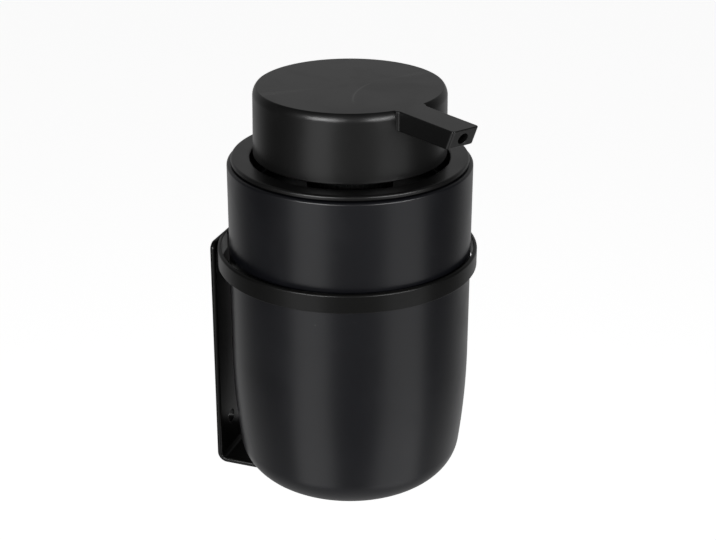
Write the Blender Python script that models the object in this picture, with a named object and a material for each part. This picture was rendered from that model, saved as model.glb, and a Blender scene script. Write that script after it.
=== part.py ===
"""Wall-mounted soap dispenser.

A tumbler container hangs in a wall bracket, a ring on a bent plate whose foot is a shelf.
A lid closes the container and carries a push-down pump, whose round cap has a straight spout.
Lengths are in metres, +Z is up, and the wall is the plane Y = 0 behind the plate.
"""

import math

import bmesh
import bpy

# Shared clearances
GAP = 0.0003
CUT_OVERRUN = 0.002
MERGE_DISTANCE = 0.000001
SHARP_ANGLE = math.radians(32)
BEVEL_ANGLE = math.radians(50)

# Steps round the turned pieces and along their small arcs
STEPS_LARGE = 56
STEPS_MEDIUM = 32
STEPS_SMALL = 20
STEPS_EDGE = 3
STEPS_CURVE = 6

# Container
CONTAINER_R = 0.0425
CONTAINER_H = 0.11865
CONTAINER_WALL = 0.0030
CONTAINER_FLOOR = 0.0032
CONTAINER_EDGE = 0.0009
BELLY_R = 0.281
HEEL_R = 0.01385
BELLY_ANGLE = math.radians(7.3)

# Lid
LID_STEP = 0.0014
LID_TOP = 0.0019
LID_EDGE = 0.0008
LID_BORDER = 0.0067
WELL_EDGE = 0.0008
WELL_DEPTH = 0.0100
WELL_WALL = 0.0016
LID_FLOOR = 0.0022
LID_ROOF = 0.0016
SKIRT_DEPTH = 0.0080
SKIRT_WALL = 0.0024
NECK_WALL = 0.0022
NECK_CLEARANCE = 0.0014
NECK_H = 0.0040
SEAL_SECTION = 0.0015
SEAL_DEPTH = 0.0042

# Collar that clamps the pump to the lid
COLLAR_WALL = 0.0027
COLLAR_TOP = 0.0020
COLLAR_EDGE = 0.0006
GASKET_H = 0.0008

# Pump housing
HOUSING_WALL = 0.0014
FLANGE_STEP = 0.0004
HOUSING_FLANGE = 0.0014
POCKET_PLAY = 0.0006
POCKET_H = 0.0048
INLET_BORE = 0.0015
INLET_LAND = 0.0022
NIPPLE_WALL = 0.0018
NIPPLE_LENGTH = 0.0085
NIPPLE_CONE = 0.0048

# Guide that closes the housing round the stem
GUIDE_LAND = 0.0026
GUIDE_FLANGE = 0.0012
GUIDE_PLUG = 0.0091
GUIDE_BOSS = 0.0042
WIPER_H = 0.0020
WIPER_WALL = 0.0012

# Plunger
STEM_R = 0.0036
STEM_BORE = 0.0013
STEM_STOP_STEP = 0.0018
STEM_STOP = 0.0012
PISTON_SPACE = 0.0034
PISTON_H = 0.0060
PISTON_WAIST = 0.0007
PISTON_LIP = 0.0014
TIP_FLANGE = 0.0015
TIP_PLUG = 0.0060
TIP_BORE = 0.0009

# Balls, cage, spring and dip tube
INLET_BALL_R = 0.0024
OUTLET_BALL_R = 0.0016
BALL_SEAT_GAP = 0.0001
OUTLET_PLAY = 0.0005
OUTLET_TRAVEL = 0.0015
CAGE_H = 0.0016
CAGE_HOLE = 0.0014
SPRING_WIRE_R = 0.00045
SPRING_PLAY = 0.0020
SPRING_TURNS = 7
SPRING_TURN_STEPS = 12
SPRING_LENGTH = 0.0178
DIP_R = 0.0025
DIP_BORE = 0.0017
DIP_CLEARANCE = 0.0027

# Push cap and its spout
CAP_TOP = 0.02666
CAP_GAP = 0.0013
CAP_DRAFT = 0.0003
CAP_EDGE = 0.0022
CAP_BOTTOM = 0.0029
CAP_BOTTOM_EDGE = 0.0004
CAP_WALL = 0.0020
CAP_ROOF = 0.0024
HUB_WALL = 0.0024
HUB_CAVITY = 0.0026
HUB_BOTTOM = 0.0125
SPOUT_LENGTH = 0.0264
SPOUT_ROOT_W = 0.0110
SPOUT_TIP_W = 0.0109
SPOUT_ROOT_H = 0.0069
SPOUT_TIP_H = 0.0066
SPOUT_SETBACK = 0.0028
SPOUT_EDGE = 0.0005
SPOUT_BORE = 0.0019
SPOUT_BORE_DROP = 0.0035
SPOUT_AZIMUTH = math.radians(-122.5)
SOCKET_WALL = 0.0014
SOCKET_FLANGE = 0.0012
SOCKET_DEPTH = 0.0060
SOCKET_LAND = 0.0026

# Wall bracket
PLATE_W = 0.0312
PLATE_T = 0.0020
PLATE_EDGE = 0.0006
PLATE_BEND = 0.0018
PLATE_CORNER = 0.0030
PLATE_DROP = 0.0319
SHELF_PAST_AXIS = 0.0076
SHELF_CORNER = 0.0040
RING_CLEARANCE = 0.0019
RING_T = 0.0013
RING_H = 0.0067
RING_EDGE = 0.0006
RING_RISE = 0.0009
RING_OFFSET = 0.0010
RING_FLAT = 0.0013
HOLE_R = 0.0025
HOLE_X = 0.0060
HOLE_LOW = 0.0127
HOLE_BELOW_RING = 0.0073

# Radii that follow from the container's, and the reach of the spout
LID_R = CONTAINER_R - LID_STEP
WELL_R = LID_R - LID_BORDER
CAP_R = WELL_R - CAP_GAP
SPOUT_REACH = CAP_R + SPOUT_LENGTH
RING_R = CONTAINER_R + RING_CLEARANCE + RING_T

# Radii that follow from the stem's, the balls' and the dip tube's
HOUSING_BORE = STEM_R + PISTON_SPACE
HOUSING_R = HOUSING_BORE + HOUSING_WALL
NECK_BORE = HOUSING_R + NECK_CLEARANCE
NECK_R = NECK_BORE + NECK_WALL
HOUSING_FLANGE_R = NECK_R - FLANGE_STEP
GUIDE_FLANGE_R = HOUSING_BORE + GUIDE_LAND
COLLAR_HOLE = HOUSING_BORE + GAP
SPRING_R = HOUSING_BORE - SPRING_PLAY
STEM_STOP_R = STEM_R + STEM_STOP_STEP
STEM_VALVE_BORE = OUTLET_BALL_R + OUTLET_PLAY
POCKET_R = INLET_BALL_R + POCKET_PLAY
NIPPLE_R = DIP_R + GAP + NIPPLE_WALL
HUB_BORE = STEM_R + 2 * GAP + SOCKET_WALL
HUB_R = HUB_BORE + HUB_WALL

# Places that follow from the sizes above, over the container's rim
WELL_FLOOR = -WELL_DEPTH
NECK_TOP = WELL_FLOOR + NECK_H
GASKET_BOTTOM = NECK_TOP + GAP
HOUSING_BOTTOM = GASKET_BOTTOM + GASKET_H + GAP
HOUSING_TOP = HOUSING_BOTTOM + HOUSING_FLANGE
GUIDE_BOTTOM = HOUSING_TOP + GAP
GUIDE_SHOULDER = GUIDE_BOTTOM + GUIDE_FLANGE
COLLAR_INNER = GUIDE_SHOULDER + GAP
GUIDE_TOP = GUIDE_SHOULDER + GUIDE_BOSS
GUIDE_END = GUIDE_BOTTOM - GUIDE_PLUG
STOP_TOP = GUIDE_END - GAP
PISTON_TOP = STOP_TOP - STEM_STOP - GAP
STEM_END = PISTON_TOP - PISTON_H - GAP
TIP_TOP = STEM_END - GAP
TIP_END = TIP_TOP - TIP_FLANGE
SPRING_TOP = TIP_END - GAP
SPRING_END = SPRING_TOP - SPRING_LENGTH
CAGE_TOP = SPRING_END - GAP
CAGE_END = CAGE_TOP - CAGE_H
POCKET_TOP = CAGE_END - GAP
POCKET_END = POCKET_TOP - POCKET_H
NIPPLE_TOP = POCKET_END - INLET_LAND
NIPPLE_END = NIPPLE_TOP - NIPPLE_LENGTH
DIP_TOP = NIPPLE_TOP - GAP
DIP_END = CONTAINER_FLOOR + DIP_CLEARANCE - CONTAINER_H
SOCKET_TOP = HUB_BOTTOM + SOCKET_DEPTH
SOCKET_END = HUB_BOTTOM - GAP - SOCKET_FLANGE
STEM_TOP = SOCKET_TOP - SOCKET_LAND
AXIS_TO_PLATE = RING_R - RING_FLAT + RING_OFFSET
AXIS_Y = -(AXIS_TO_PLATE + PLATE_T)
SHELF_DEPTH = SHELF_PAST_AXIS - AXIS_Y
SHELF_TOP = -CONTAINER_H - GAP
SHELF_END = SHELF_TOP - PLATE_T
PLATE_TOP = -PLATE_DROP
RING_TOP = PLATE_TOP + RING_RISE
RING_LOW = RING_TOP - RING_H
RIM_Z = -(PLATE_TOP + SHELF_END) / 2


def arc(centre_r, centre_z, radius, start, end, steps):
    """Return points along an arc in the (radius, height) plane, both ends included."""
    angles = [math.radians(start + (end - start) * step / steps) for step in range(steps + 1)]
    return [(centre_r + radius * math.cos(a), centre_z + radius * math.sin(a)) for a in angles]


def make_material(name, colour, roughness, metallic=0.0):
    """Return a Principled material with one colour, roughness and metallic value."""
    material = bpy.data.materials.new(name)
    material.use_nodes = True
    shader = material.node_tree.nodes["Principled BSDF"]
    shader.inputs["Base Color"].default_value = (*colour, 1.0)
    shader.inputs["Roughness"].default_value = roughness
    shader.inputs["Metallic"].default_value = metallic
    material.diffuse_color = (*colour, 1.0)
    return material


def black_satin(name):
    """Return the satin black of the cap, the lid, the container and the collar."""
    return make_material(name, (0.012, 0.012, 0.013), 0.42)


def black_coated(name):
    """Return the powder-coated black of the wall bracket."""
    return make_material(name, (0.010, 0.010, 0.010), 0.38)


def natural_plastic(name):
    """Return the milky plastic of the pump's moulded pieces."""
    return make_material(name, (0.78, 0.78, 0.75), 0.45)


def soft_rubber(name):
    """Return the dark rubber of the seals."""
    return make_material(name, (0.03, 0.03, 0.03), 0.75)


def bright_steel(name):
    """Return the polished steel of the balls and the spring."""
    return make_material(name, (0.62, 0.62, 0.63), 0.22, 1.0)


def make_frame(name, location, parent=None):
    """Add an empty on a joint's axis, which carries the pieces that move with it."""
    frame = bpy.data.objects.new(name, None)
    frame.location = location
    frame.parent = parent
    bpy.context.scene.collection.objects.link(frame)
    return frame


def add_object(name, bm, material, parent=None, smooth=True):
    """Write a bmesh to a new object with one material and a parent, and return the object."""
    bmesh.ops.recalc_face_normals(bm, faces=bm.faces)
    mesh = bpy.data.meshes.new(name)
    bm.to_mesh(mesh)
    bm.free()
    if smooth:
        mesh.shade_smooth()
        mesh.set_sharp_from_angle(angle=SHARP_ANGLE)
    if material is not None:
        mesh.materials.append(material)
    piece = bpy.data.objects.new(name, mesh)
    piece.parent = parent
    bpy.context.scene.collection.objects.link(piece)
    return piece


def turn(outline, steps):
    """Return a bmesh of an outline of (radius, height) points turned about the Z axis."""
    bm = bmesh.new()
    verts = [bm.verts.new((radius, 0, height)) for radius, height in outline]
    pairs = zip(verts, verts[1:] + verts[:1])
    edges = [bm.edges.new(pair) for pair in pairs if pair[0].co.x + pair[1].co.x > MERGE_DISTANCE]
    bmesh.ops.spin(bm, geom=verts + edges, cent=(0, 0, 0), axis=(0, 0, 1), angle=math.tau,
                   steps=steps, use_merge=True)
    bmesh.ops.remove_doubles(bm, verts=bm.verts, dist=MERGE_DISTANCE)
    return bm


def add_cutter(name, bm, target, parent=None, operation="DIFFERENCE"):
    """Add a guide solid and the Boolean modifier that cuts it from, or joins it to, a target."""
    cutter = add_object(name, bm, None, parent, smooth=False)
    cutter.hide_render = True
    cutter.display_type = "WIRE"
    boolean = target.modifiers.new(name, "BOOLEAN")
    boolean.operation = operation
    boolean.object = cutter
    return cutter


def rod(radius, length, steps):
    """Return a bmesh of a solid rod from the origin up the Z axis."""
    return turn([(0, 0), (radius, 0), (radius, length), (0, length)], steps)


def make_wall_plate(parent):
    """Make the plate on the wall, bent forward at its foot into the shelf."""
    tall = PLATE_TOP - SHELF_END
    bend_outer = PLATE_BEND + PLATE_T
    outer = [(bend_outer - y, bend_outer - z) for y, z in arc(0, 0, bend_outer, 0, 90, STEPS_CURVE)]
    inner = [(bend_outer - y, bend_outer - z) for y, z in arc(0, 0, PLATE_BEND, 90, 0, STEPS_CURVE)]
    outline = [(0, tall)] + outer + [(SHELF_DEPTH, 0), (SHELF_DEPTH, PLATE_T)] + inner
    outline.append((PLATE_T, tall))
    bm = bmesh.new()
    verts = [bm.verts.new((-PLATE_W / 2, -depth, height)) for depth, height in outline]
    side = bm.faces.new(verts)
    pulled = bmesh.ops.extrude_face_region(bm, geom=[side])
    moved = [item for item in pulled["geom"] if isinstance(item, bmesh.types.BMVert)]
    bmesh.ops.translate(bm, verts=moved, vec=(PLATE_W, 0, 0))
    shelf_ends = [edge for edge in bm.edges
                  if all(vert.co.y < MERGE_DISTANCE - SHELF_DEPTH for vert in edge.verts)
                  and abs(edge.verts[0].co.z - edge.verts[1].co.z) > MERGE_DISTANCE]
    top_ends = [edge for edge in bm.edges
                if all(vert.co.z > tall - MERGE_DISTANCE for vert in edge.verts)
                and abs(edge.verts[0].co.y - edge.verts[1].co.y) > MERGE_DISTANCE]
    bmesh.ops.bevel(bm, geom=shelf_ends, offset=SHELF_CORNER, segments=STEPS_EDGE, profile=0.5,
                    affect="EDGES")
    bmesh.ops.bevel(bm, geom=top_ends, offset=PLATE_CORNER, segments=STEPS_EDGE, profile=0.5,
                    affect="EDGES")
    plate = add_object("wall_plate", bm, black_coated("plate_black"), parent)
    plate.location = (0, 0, SHELF_END)
    bevel = plate.modifiers.new("rounded_edges", "BEVEL")
    bevel.width = PLATE_EDGE
    bevel.segments = 2
    bevel.limit_method = "ANGLE"
    bevel.angle_limit = BEVEL_ANGLE
    heights = (-CONTAINER_H + HOLE_LOW, RING_LOW - HOLE_BELOW_RING)
    places = [(x, z) for z in heights for x in (-HOLE_X, HOLE_X)]
    for number, (x, z) in enumerate(places, start=1):
        length = PLATE_T + 2 * CUT_OVERRUN
        hole = add_cutter(f"screw_hole_{number}", rod(HOLE_R, length, STEPS_SMALL), plate, parent)
        hole.rotation_euler = (math.radians(90), 0, 0)
        hole.location = (x, CUT_OVERRUN, z)
    return plate


def make_support_ring(parent):
    """Make the flat strip that goes round the container and ends on the plate."""
    inner = RING_R - RING_T
    outline = [(inner, RING_LOW), (RING_R, RING_LOW)]
    outline += arc(RING_R - RING_EDGE, RING_TOP - RING_EDGE, RING_EDGE, 0, 90, STEPS_EDGE)
    outline.append((inner, RING_TOP))
    bm = turn(outline, STEPS_LARGE)
    centre_y = AXIS_Y + RING_OFFSET
    cut_y = -PLATE_T - GAP - centre_y
    geometry = bm.verts[:] + bm.edges[:] + bm.faces[:]
    bmesh.ops.bisect_plane(bm, geom=geometry, dist=MERGE_DISTANCE, plane_co=(0, cut_y, 0),
                           plane_no=(0, 1, 0), clear_outer=True)
    ends = [edge for edge in bm.edges if edge.is_boundary]
    bmesh.ops.holes_fill(bm, edges=ends)
    ring = add_object("support_ring", bm, black_coated("ring_black"), parent)
    ring.location = (0, centre_y, 0)
    return ring


def container_side(offset):
    """Return the container's outline from the belly to the foot, drawn in by an offset."""
    foot_r = CONTAINER_R - BELLY_R * (1 - math.cos(BELLY_ANGLE)) - HEEL_R * math.cos(BELLY_ANGLE)
    heel_top = HEEL_R * (1 - math.sin(BELLY_ANGLE))
    belly_z = heel_top + BELLY_R * math.sin(BELLY_ANGLE) - CONTAINER_H
    slope = math.degrees(BELLY_ANGLE)
    belly = arc(CONTAINER_R - BELLY_R, belly_z, BELLY_R - offset, 0, -slope, STEPS_CURVE)
    heel = arc(foot_r, HEEL_R - CONTAINER_H, HEEL_R - offset, -slope, -90, STEPS_CURVE)
    return belly + heel[1:]


def make_container(parent):
    """Make the tumbler with its rounded rim, thin wall, drawn-in foot and flat base."""
    edge = CONTAINER_EDGE
    inner_r = CONTAINER_R - CONTAINER_WALL
    floor_z = CONTAINER_FLOOR - CONTAINER_H
    outline = arc(CONTAINER_R - edge, -edge, edge, 90, 0, STEPS_EDGE)
    outline += container_side(0)
    outline += [(0, -CONTAINER_H), (0, floor_z)]
    inside = [(r, z) for r, z in container_side(CONTAINER_WALL) if z > floor_z]
    outline += [(inside[-1][0] - CONTAINER_WALL / 2, floor_z)] + inside[::-1]
    outline.append((inner_r, 0))
    return add_object("container", turn(outline, STEPS_LARGE), black_satin("container_black"), parent)


def make_lid(parent):
    """Make the lid: a flange on the rim, a skirt in the mouth, a well and the pump's neck."""
    skirt_r = CONTAINER_R - CONTAINER_WALL - GAP
    skirt_inner = skirt_r - SKIRT_WALL
    well_outer = WELL_R + WELL_WALL
    groove_r = skirt_r - SEAL_SECTION
    groove_half = SEAL_SECTION / 2 + GAP
    roof = LID_TOP - LID_ROOF
    outline = arc(WELL_R + WELL_EDGE, LID_TOP - WELL_EDGE, WELL_EDGE, 180, 90, STEPS_EDGE)
    outline += arc(LID_R - LID_EDGE, LID_TOP - LID_EDGE, LID_EDGE, 90, 0, STEPS_EDGE)
    outline += [(LID_R, GAP), (skirt_r, GAP)]
    outline += [(skirt_r, groove_half - SEAL_DEPTH), (groove_r, groove_half - SEAL_DEPTH)]
    outline += [(groove_r, -groove_half - SEAL_DEPTH), (skirt_r, -groove_half - SEAL_DEPTH)]
    outline += [(skirt_r, -SKIRT_DEPTH), (skirt_inner, -SKIRT_DEPTH)]
    outline += [(skirt_inner, roof - GAP), (well_outer, roof - GAP)]
    outline += [(well_outer, WELL_FLOOR - LID_FLOOR), (NECK_BORE, WELL_FLOOR - LID_FLOOR)]
    outline += [(NECK_BORE, NECK_TOP), (NECK_R, NECK_TOP), (NECK_R, WELL_FLOOR), (WELL_R, WELL_FLOOR)]
    return add_object("lid", turn(outline, STEPS_LARGE), black_satin("lid_black"), parent)


def make_lid_seal(parent):
    """Make the round seal in the groove of the lid's skirt."""
    radius = SEAL_SECTION / 2
    skirt_r = CONTAINER_R - CONTAINER_WALL - GAP
    outline = arc(skirt_r - radius + GAP / 2, -SEAL_DEPTH, radius, 0, 360, STEPS_CURVE)[:-1]
    return add_object("lid_seal", turn(outline, STEPS_LARGE), soft_rubber("seal_rubber"), parent)


def make_pump_collar(parent):
    """Make the collar that screws over the lid's neck and clamps the pump."""
    bore = NECK_R + GAP
    outer = bore + COLLAR_WALL
    top = COLLAR_INNER + COLLAR_TOP
    bottom = WELL_FLOOR + GAP
    outline = [(bore, bottom), (outer, bottom)]
    outline += arc(outer - COLLAR_EDGE, top - COLLAR_EDGE, COLLAR_EDGE, 0, 90, STEPS_EDGE)
    outline += [(COLLAR_HOLE, top), (COLLAR_HOLE, COLLAR_INNER), (bore, COLLAR_INNER)]
    bm = turn(outline, STEPS_MEDIUM)
    return add_object("pump_collar", bm, black_satin("collar_black"), parent)


def make_collar_gasket(parent):
    """Make the flat gasket between the lid's neck and the housing's flange."""
    top = GASKET_BOTTOM + GASKET_H
    outline = [(NECK_BORE, GASKET_BOTTOM), (HOUSING_FLANGE_R, GASKET_BOTTOM)]
    outline += [(HOUSING_FLANGE_R, top), (NECK_BORE, top)]
    bm = turn(outline, STEPS_MEDIUM)
    return add_object("collar_gasket", bm, soft_rubber("gasket_rubber"), parent)


def make_pump_housing(parent):
    """Make the pump's cylinder with its flange, ball pocket, inlet bore and tube nipple."""
    cone_end = POCKET_END - NIPPLE_CONE + INLET_LAND
    outline = [(HOUSING_BORE, HOUSING_TOP), (HOUSING_FLANGE_R, HOUSING_TOP)]
    outline += [(HOUSING_FLANGE_R, HOUSING_BOTTOM), (HOUSING_R, HOUSING_BOTTOM)]
    outline += [(HOUSING_R, POCKET_TOP), (NIPPLE_R, cone_end), (NIPPLE_R, NIPPLE_END)]
    outline += [(DIP_R + GAP, NIPPLE_END), (DIP_R + GAP, NIPPLE_TOP), (INLET_BORE, NIPPLE_TOP)]
    outline += [(INLET_BORE, POCKET_END), (POCKET_R, POCKET_END), (POCKET_R, POCKET_TOP)]
    outline.append((HOUSING_BORE, POCKET_TOP))
    bm = turn(outline, STEPS_MEDIUM)
    return add_object("pump_housing", bm, natural_plastic("housing_plastic"), parent)


def make_stem_guide(parent):
    """Make the guide that closes the housing and holds the wiper round the stem."""
    bore = STEM_R + GAP
    seat_r = bore + WIPER_WALL + GAP
    seat_z = GUIDE_TOP - WIPER_H - GAP
    boss = COLLAR_HOLE - GAP
    plug = HOUSING_BORE - GAP
    outline = [(bore, seat_z), (seat_r, seat_z), (seat_r, GUIDE_TOP), (boss, GUIDE_TOP)]
    outline += [(boss, GUIDE_SHOULDER), (GUIDE_FLANGE_R, GUIDE_SHOULDER)]
    outline += [(GUIDE_FLANGE_R, GUIDE_BOTTOM), (plug, GUIDE_BOTTOM), (plug, GUIDE_END)]
    outline.append((bore, GUIDE_END))
    bm = turn(outline, STEPS_MEDIUM)
    return add_object("stem_guide", bm, natural_plastic("guide_plastic"), parent)


def make_guide_wiper(parent):
    """Make the soft wiper ring that sits in the guide's top."""
    bore = STEM_R + GAP
    bottom = GUIDE_TOP - WIPER_H
    outline = [(bore, bottom), (bore + WIPER_WALL, bottom), (bore + WIPER_WALL, GUIDE_TOP)]
    outline.append((bore, GUIDE_TOP))
    bm = turn(outline, STEPS_MEDIUM)
    return add_object("guide_wiper", bm, soft_rubber("wiper_rubber"), parent)


def make_ball_cage(parent):
    """Make the ring that traps the inlet ball and carries the spring."""
    outer = HOUSING_BORE - GAP
    outline = [(CAGE_HOLE, CAGE_END), (outer, CAGE_END), (outer, CAGE_TOP), (CAGE_HOLE, CAGE_TOP)]
    bm = turn(outline, STEPS_MEDIUM)
    return add_object("ball_cage", bm, natural_plastic("cage_plastic"), parent)


def make_ball(name, radius, seat_z, bore, parent):
    """Make a steel ball that rests on the rim of a bore."""
    bm = bmesh.new()
    bmesh.ops.create_icosphere(bm, subdivisions=2, radius=radius)
    ball = add_object(name, bm, bright_steel(f"{name}_steel"), parent)
    reach = radius + BALL_SEAT_GAP
    ball.location = (0, 0, seat_z + math.sqrt(reach * reach - bore * bore))
    return ball


def make_return_spring(parent):
    """Make the coil spring that lifts the plunger, as one unbroken tube."""
    curve = bpy.data.curves.new("return_spring", "CURVE")
    curve.dimensions = "3D"
    curve.bevel_depth = SPRING_WIRE_R
    curve.bevel_resolution = 1
    curve.use_fill_caps = True
    count = SPRING_TURNS * SPRING_TURN_STEPS
    rise = SPRING_LENGTH - 2 * SPRING_WIRE_R
    spline = curve.splines.new("POLY")
    spline.points.add(count)
    for number, point in enumerate(spline.points):
        angle = math.tau * number / SPRING_TURN_STEPS
        height = SPRING_END + SPRING_WIRE_R + rise * number / count
        point.co = (SPRING_R * math.cos(angle), SPRING_R * math.sin(angle), height, 1)
    curve.materials.append(bright_steel("spring_steel"))
    spring = bpy.data.objects.new("return_spring", curve)
    spring.parent = parent
    bpy.context.scene.collection.objects.link(spring)
    print("least gap between the spring's turns:", rise / SPRING_TURNS - 2 * SPRING_WIRE_R)
    return spring


def make_dip_tube(parent):
    """Make the straight tube that draws soap from the container's floor."""
    outline = [(DIP_BORE, DIP_END), (DIP_R, DIP_END), (DIP_R, DIP_TOP), (DIP_BORE, DIP_TOP)]
    bm = turn(outline, STEPS_SMALL)
    return add_object("dip_tube", bm, natural_plastic("dip_plastic"), parent)


def outlet_seat():
    """Return the height of the outlet ball's seat, the top of the piston tip's plug."""
    return STEM_END + TIP_PLUG


def make_plunger_stem(parent):
    """Make the hollow stem with its stop flange and the wider bore round the outlet ball."""
    rim = OUTLET_BALL_R + BALL_SEAT_GAP
    lifted = outlet_seat() + math.sqrt(rim * rim - TIP_BORE * TIP_BORE) + OUTLET_TRAVEL
    step_z = lifted + math.sqrt(rim * rim - STEM_BORE * STEM_BORE)
    outline = [(STEM_BORE, step_z), (STEM_VALVE_BORE, step_z), (STEM_VALVE_BORE, STEM_END)]
    outline += [(STEM_R, STEM_END), (STEM_R, STOP_TOP - STEM_STOP)]
    outline += [(STEM_STOP_R, STOP_TOP - STEM_STOP), (STEM_STOP_R, STOP_TOP), (STEM_R, STOP_TOP)]
    outline += [(STEM_R, STEM_TOP), (STEM_BORE, STEM_TOP)]
    bm = turn(outline, STEPS_MEDIUM)
    return add_object("plunger_stem", bm, natural_plastic("stem_plastic"), parent)


def make_piston_seal(parent):
    """Make the piston's soft sleeve, with a lip at each end and a waist between."""
    bore = STEM_R + GAP
    outer = HOUSING_BORE - GAP
    waist = outer - PISTON_WAIST
    bottom = PISTON_TOP - PISTON_H
    outline = [(bore, bottom), (outer, bottom), (outer, bottom + PISTON_LIP)]
    outline += [(waist, bottom + PISTON_LIP + PISTON_WAIST), (waist, PISTON_TOP - PISTON_LIP - PISTON_WAIST)]
    outline += [(outer, PISTON_TOP - PISTON_LIP), (outer, PISTON_TOP), (bore, PISTON_TOP)]
    bm = turn(outline, STEPS_MEDIUM)
    return add_object("piston_seal", bm, soft_rubber("piston_rubber"), parent)


def make_piston_tip(parent):
    """Make the tip that plugs the stem, holds the piston and seats the outlet ball."""
    plug = STEM_VALVE_BORE - GAP
    outline = [(TIP_BORE, TIP_END), (STEM_STOP_R, TIP_END), (STEM_STOP_R, TIP_TOP)]
    outline += [(plug, TIP_TOP), (plug, outlet_seat()), (TIP_BORE, outlet_seat())]
    bm = turn(outline, STEPS_MEDIUM)
    return add_object("piston_tip", bm, natural_plastic("tip_plastic"), parent)


def spout_width(reach):
    """Return the spout's width at a distance from the cap's axis."""
    share = (reach - CAP_R) / (SPOUT_REACH - CAP_R)
    return SPOUT_ROOT_W + (SPOUT_TIP_W - SPOUT_ROOT_W) * share


def spout_bottom(reach):
    """Return the height of the spout's underside at a distance from the cap's axis."""
    share = (reach - CAP_R) / (SPOUT_REACH - CAP_R)
    return CAP_TOP - SPOUT_ROOT_H - (SPOUT_TIP_H - SPOUT_ROOT_H) * share


def spout_bar():
    """Return a bmesh of the tapered bar from the hub to the spout's slanted end."""
    bm = bmesh.new()
    rings = []
    for top_reach, low_reach in ((0, 0), (SPOUT_REACH, SPOUT_REACH - SPOUT_SETBACK)):
        low_w = spout_width(low_reach) / 2
        top_w = spout_width(top_reach) / 2
        corners = [(low_reach, -low_w, spout_bottom(low_reach)), (low_reach, low_w, spout_bottom(low_reach)),
                   (top_reach, top_w, CAP_TOP), (top_reach, -top_w, CAP_TOP)]
        rings.append([bm.verts.new(corner) for corner in corners])
    for number in range(4):
        after = (number + 1) % 4
        bm.faces.new((rings[0][number], rings[0][after], rings[1][after], rings[1][number]))
    bm.faces.new(rings[0][::-1])
    end = bm.faces.new(rings[1])
    long_edges = [edge for edge in bm.edges if len(set(edge.verts) & set(rings[1])) == 1]
    bmesh.ops.bevel(bm, geom=long_edges + end.edges[:], offset=SPOUT_EDGE, segments=2, profile=0.5,
                    affect="EDGES")
    return bm


def make_push_cap(parent):
    """Make the round push cap with its hub, its spout and the channel through both."""
    low_r = CAP_R + CAP_DRAFT
    roof = CAP_TOP - CAP_ROOF
    cavity_top = CAP_TOP - SPOUT_BORE_DROP + SPOUT_BORE
    outline = [(0, CAP_TOP)] + arc(CAP_R - CAP_EDGE, CAP_TOP - CAP_EDGE, CAP_EDGE, 90, 0, STEPS_EDGE + 1)
    outline += [(low_r, CAP_BOTTOM + CAP_BOTTOM_EDGE), (low_r - CAP_BOTTOM_EDGE, CAP_BOTTOM)]
    outline += [(low_r - CAP_WALL, CAP_BOTTOM), (CAP_R - CAP_WALL, roof), (HUB_R, roof)]
    outline += [(HUB_R, HUB_BOTTOM), (HUB_BORE, HUB_BOTTOM), (HUB_BORE, SOCKET_TOP + GAP)]
    outline += [(0, SOCKET_TOP + GAP)]
    cap = add_object("push_cap", turn(outline, STEPS_LARGE), black_satin("cap_black"), parent)
    add_cutter("spout_bar", spout_bar(), cap, parent, "UNION")
    bore = add_cutter("spout_bore", rod(SPOUT_BORE, SPOUT_REACH + CUT_OVERRUN, STEPS_SMALL), cap, parent)
    bore.rotation_euler = (0, math.radians(90), 0)
    bore.location = (0, 0, CAP_TOP - SPOUT_BORE_DROP)
    cavity_low = SOCKET_TOP - CUT_OVERRUN
    cavity = add_cutter("hub_cavity", rod(HUB_CAVITY, cavity_top - cavity_low, STEPS_SMALL), cap, parent)
    cavity.location = (0, 0, cavity_low)
    return cap


def make_stem_socket(parent):
    """Make the bush in the cap's hub that takes the stem's top."""
    outer = HUB_BORE - GAP
    bore = STEM_R + GAP
    outline = [(bore, SOCKET_END), (HUB_R, SOCKET_END), (HUB_R, SOCKET_END + SOCKET_FLANGE)]
    outline += [(outer, SOCKET_END + SOCKET_FLANGE), (outer, SOCKET_TOP), (STEM_BORE, SOCKET_TOP)]
    outline += [(STEM_BORE, STEM_TOP + GAP), (bore, STEM_TOP + GAP)]
    bm = turn(outline, STEPS_MEDIUM)
    return add_object("stem_socket", bm, natural_plastic("socket_plastic"), parent)


def main():
    """Clear the scene and build the dispenser, group by group."""
    for item in list(bpy.data.objects):
        bpy.data.objects.remove(item)

    # The bracket stands still on the wall
    bracket = make_frame("bracket_frame", (0, 0, RIM_Z))
    make_wall_plate(bracket)
    make_support_ring(bracket)

    # The container lifts out of the ring, and the lid lifts off the container
    container_frame = make_frame("container_frame", (0, AXIS_Y, RIM_Z))
    make_container(container_frame)
    lid_frame = make_frame("lid_frame", (0, 0, 0), container_frame)
    make_lid(lid_frame)
    make_lid_seal(lid_frame)
    make_pump_collar(lid_frame)
    make_collar_gasket(lid_frame)
    make_pump_housing(lid_frame)
    make_stem_guide(lid_frame)
    make_guide_wiper(lid_frame)
    make_ball_cage(lid_frame)
    make_dip_tube(lid_frame)
    make_return_spring(lid_frame)
    make_ball("inlet_ball", INLET_BALL_R, POCKET_END, INLET_BORE, lid_frame)

    # The plunger slides down in the housing
    plunger = make_frame("plunger_frame", (0, 0, 0), lid_frame)
    make_plunger_stem(plunger)
    make_piston_seal(plunger)
    make_piston_tip(plunger)
    make_ball("outlet_ball", OUTLET_BALL_R, outlet_seat(), TIP_BORE, plunger)

    # The head turns on the plunger
    head = make_frame("head_frame", (0, 0, 0), plunger)
    head.rotation_euler = (0, 0, SPOUT_AZIMUTH)
    make_push_cap(head)
    make_stem_socket(head)


main()
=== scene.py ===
"""Looks of a wall-mounted soap dispenser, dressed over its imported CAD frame.

The frame has +Z up, the wall is the plane Y = 0 behind the plate, and lengths are in metres.
The turned pieces share one upright axis, and their heights are given over the container's rim.
"""

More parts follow.
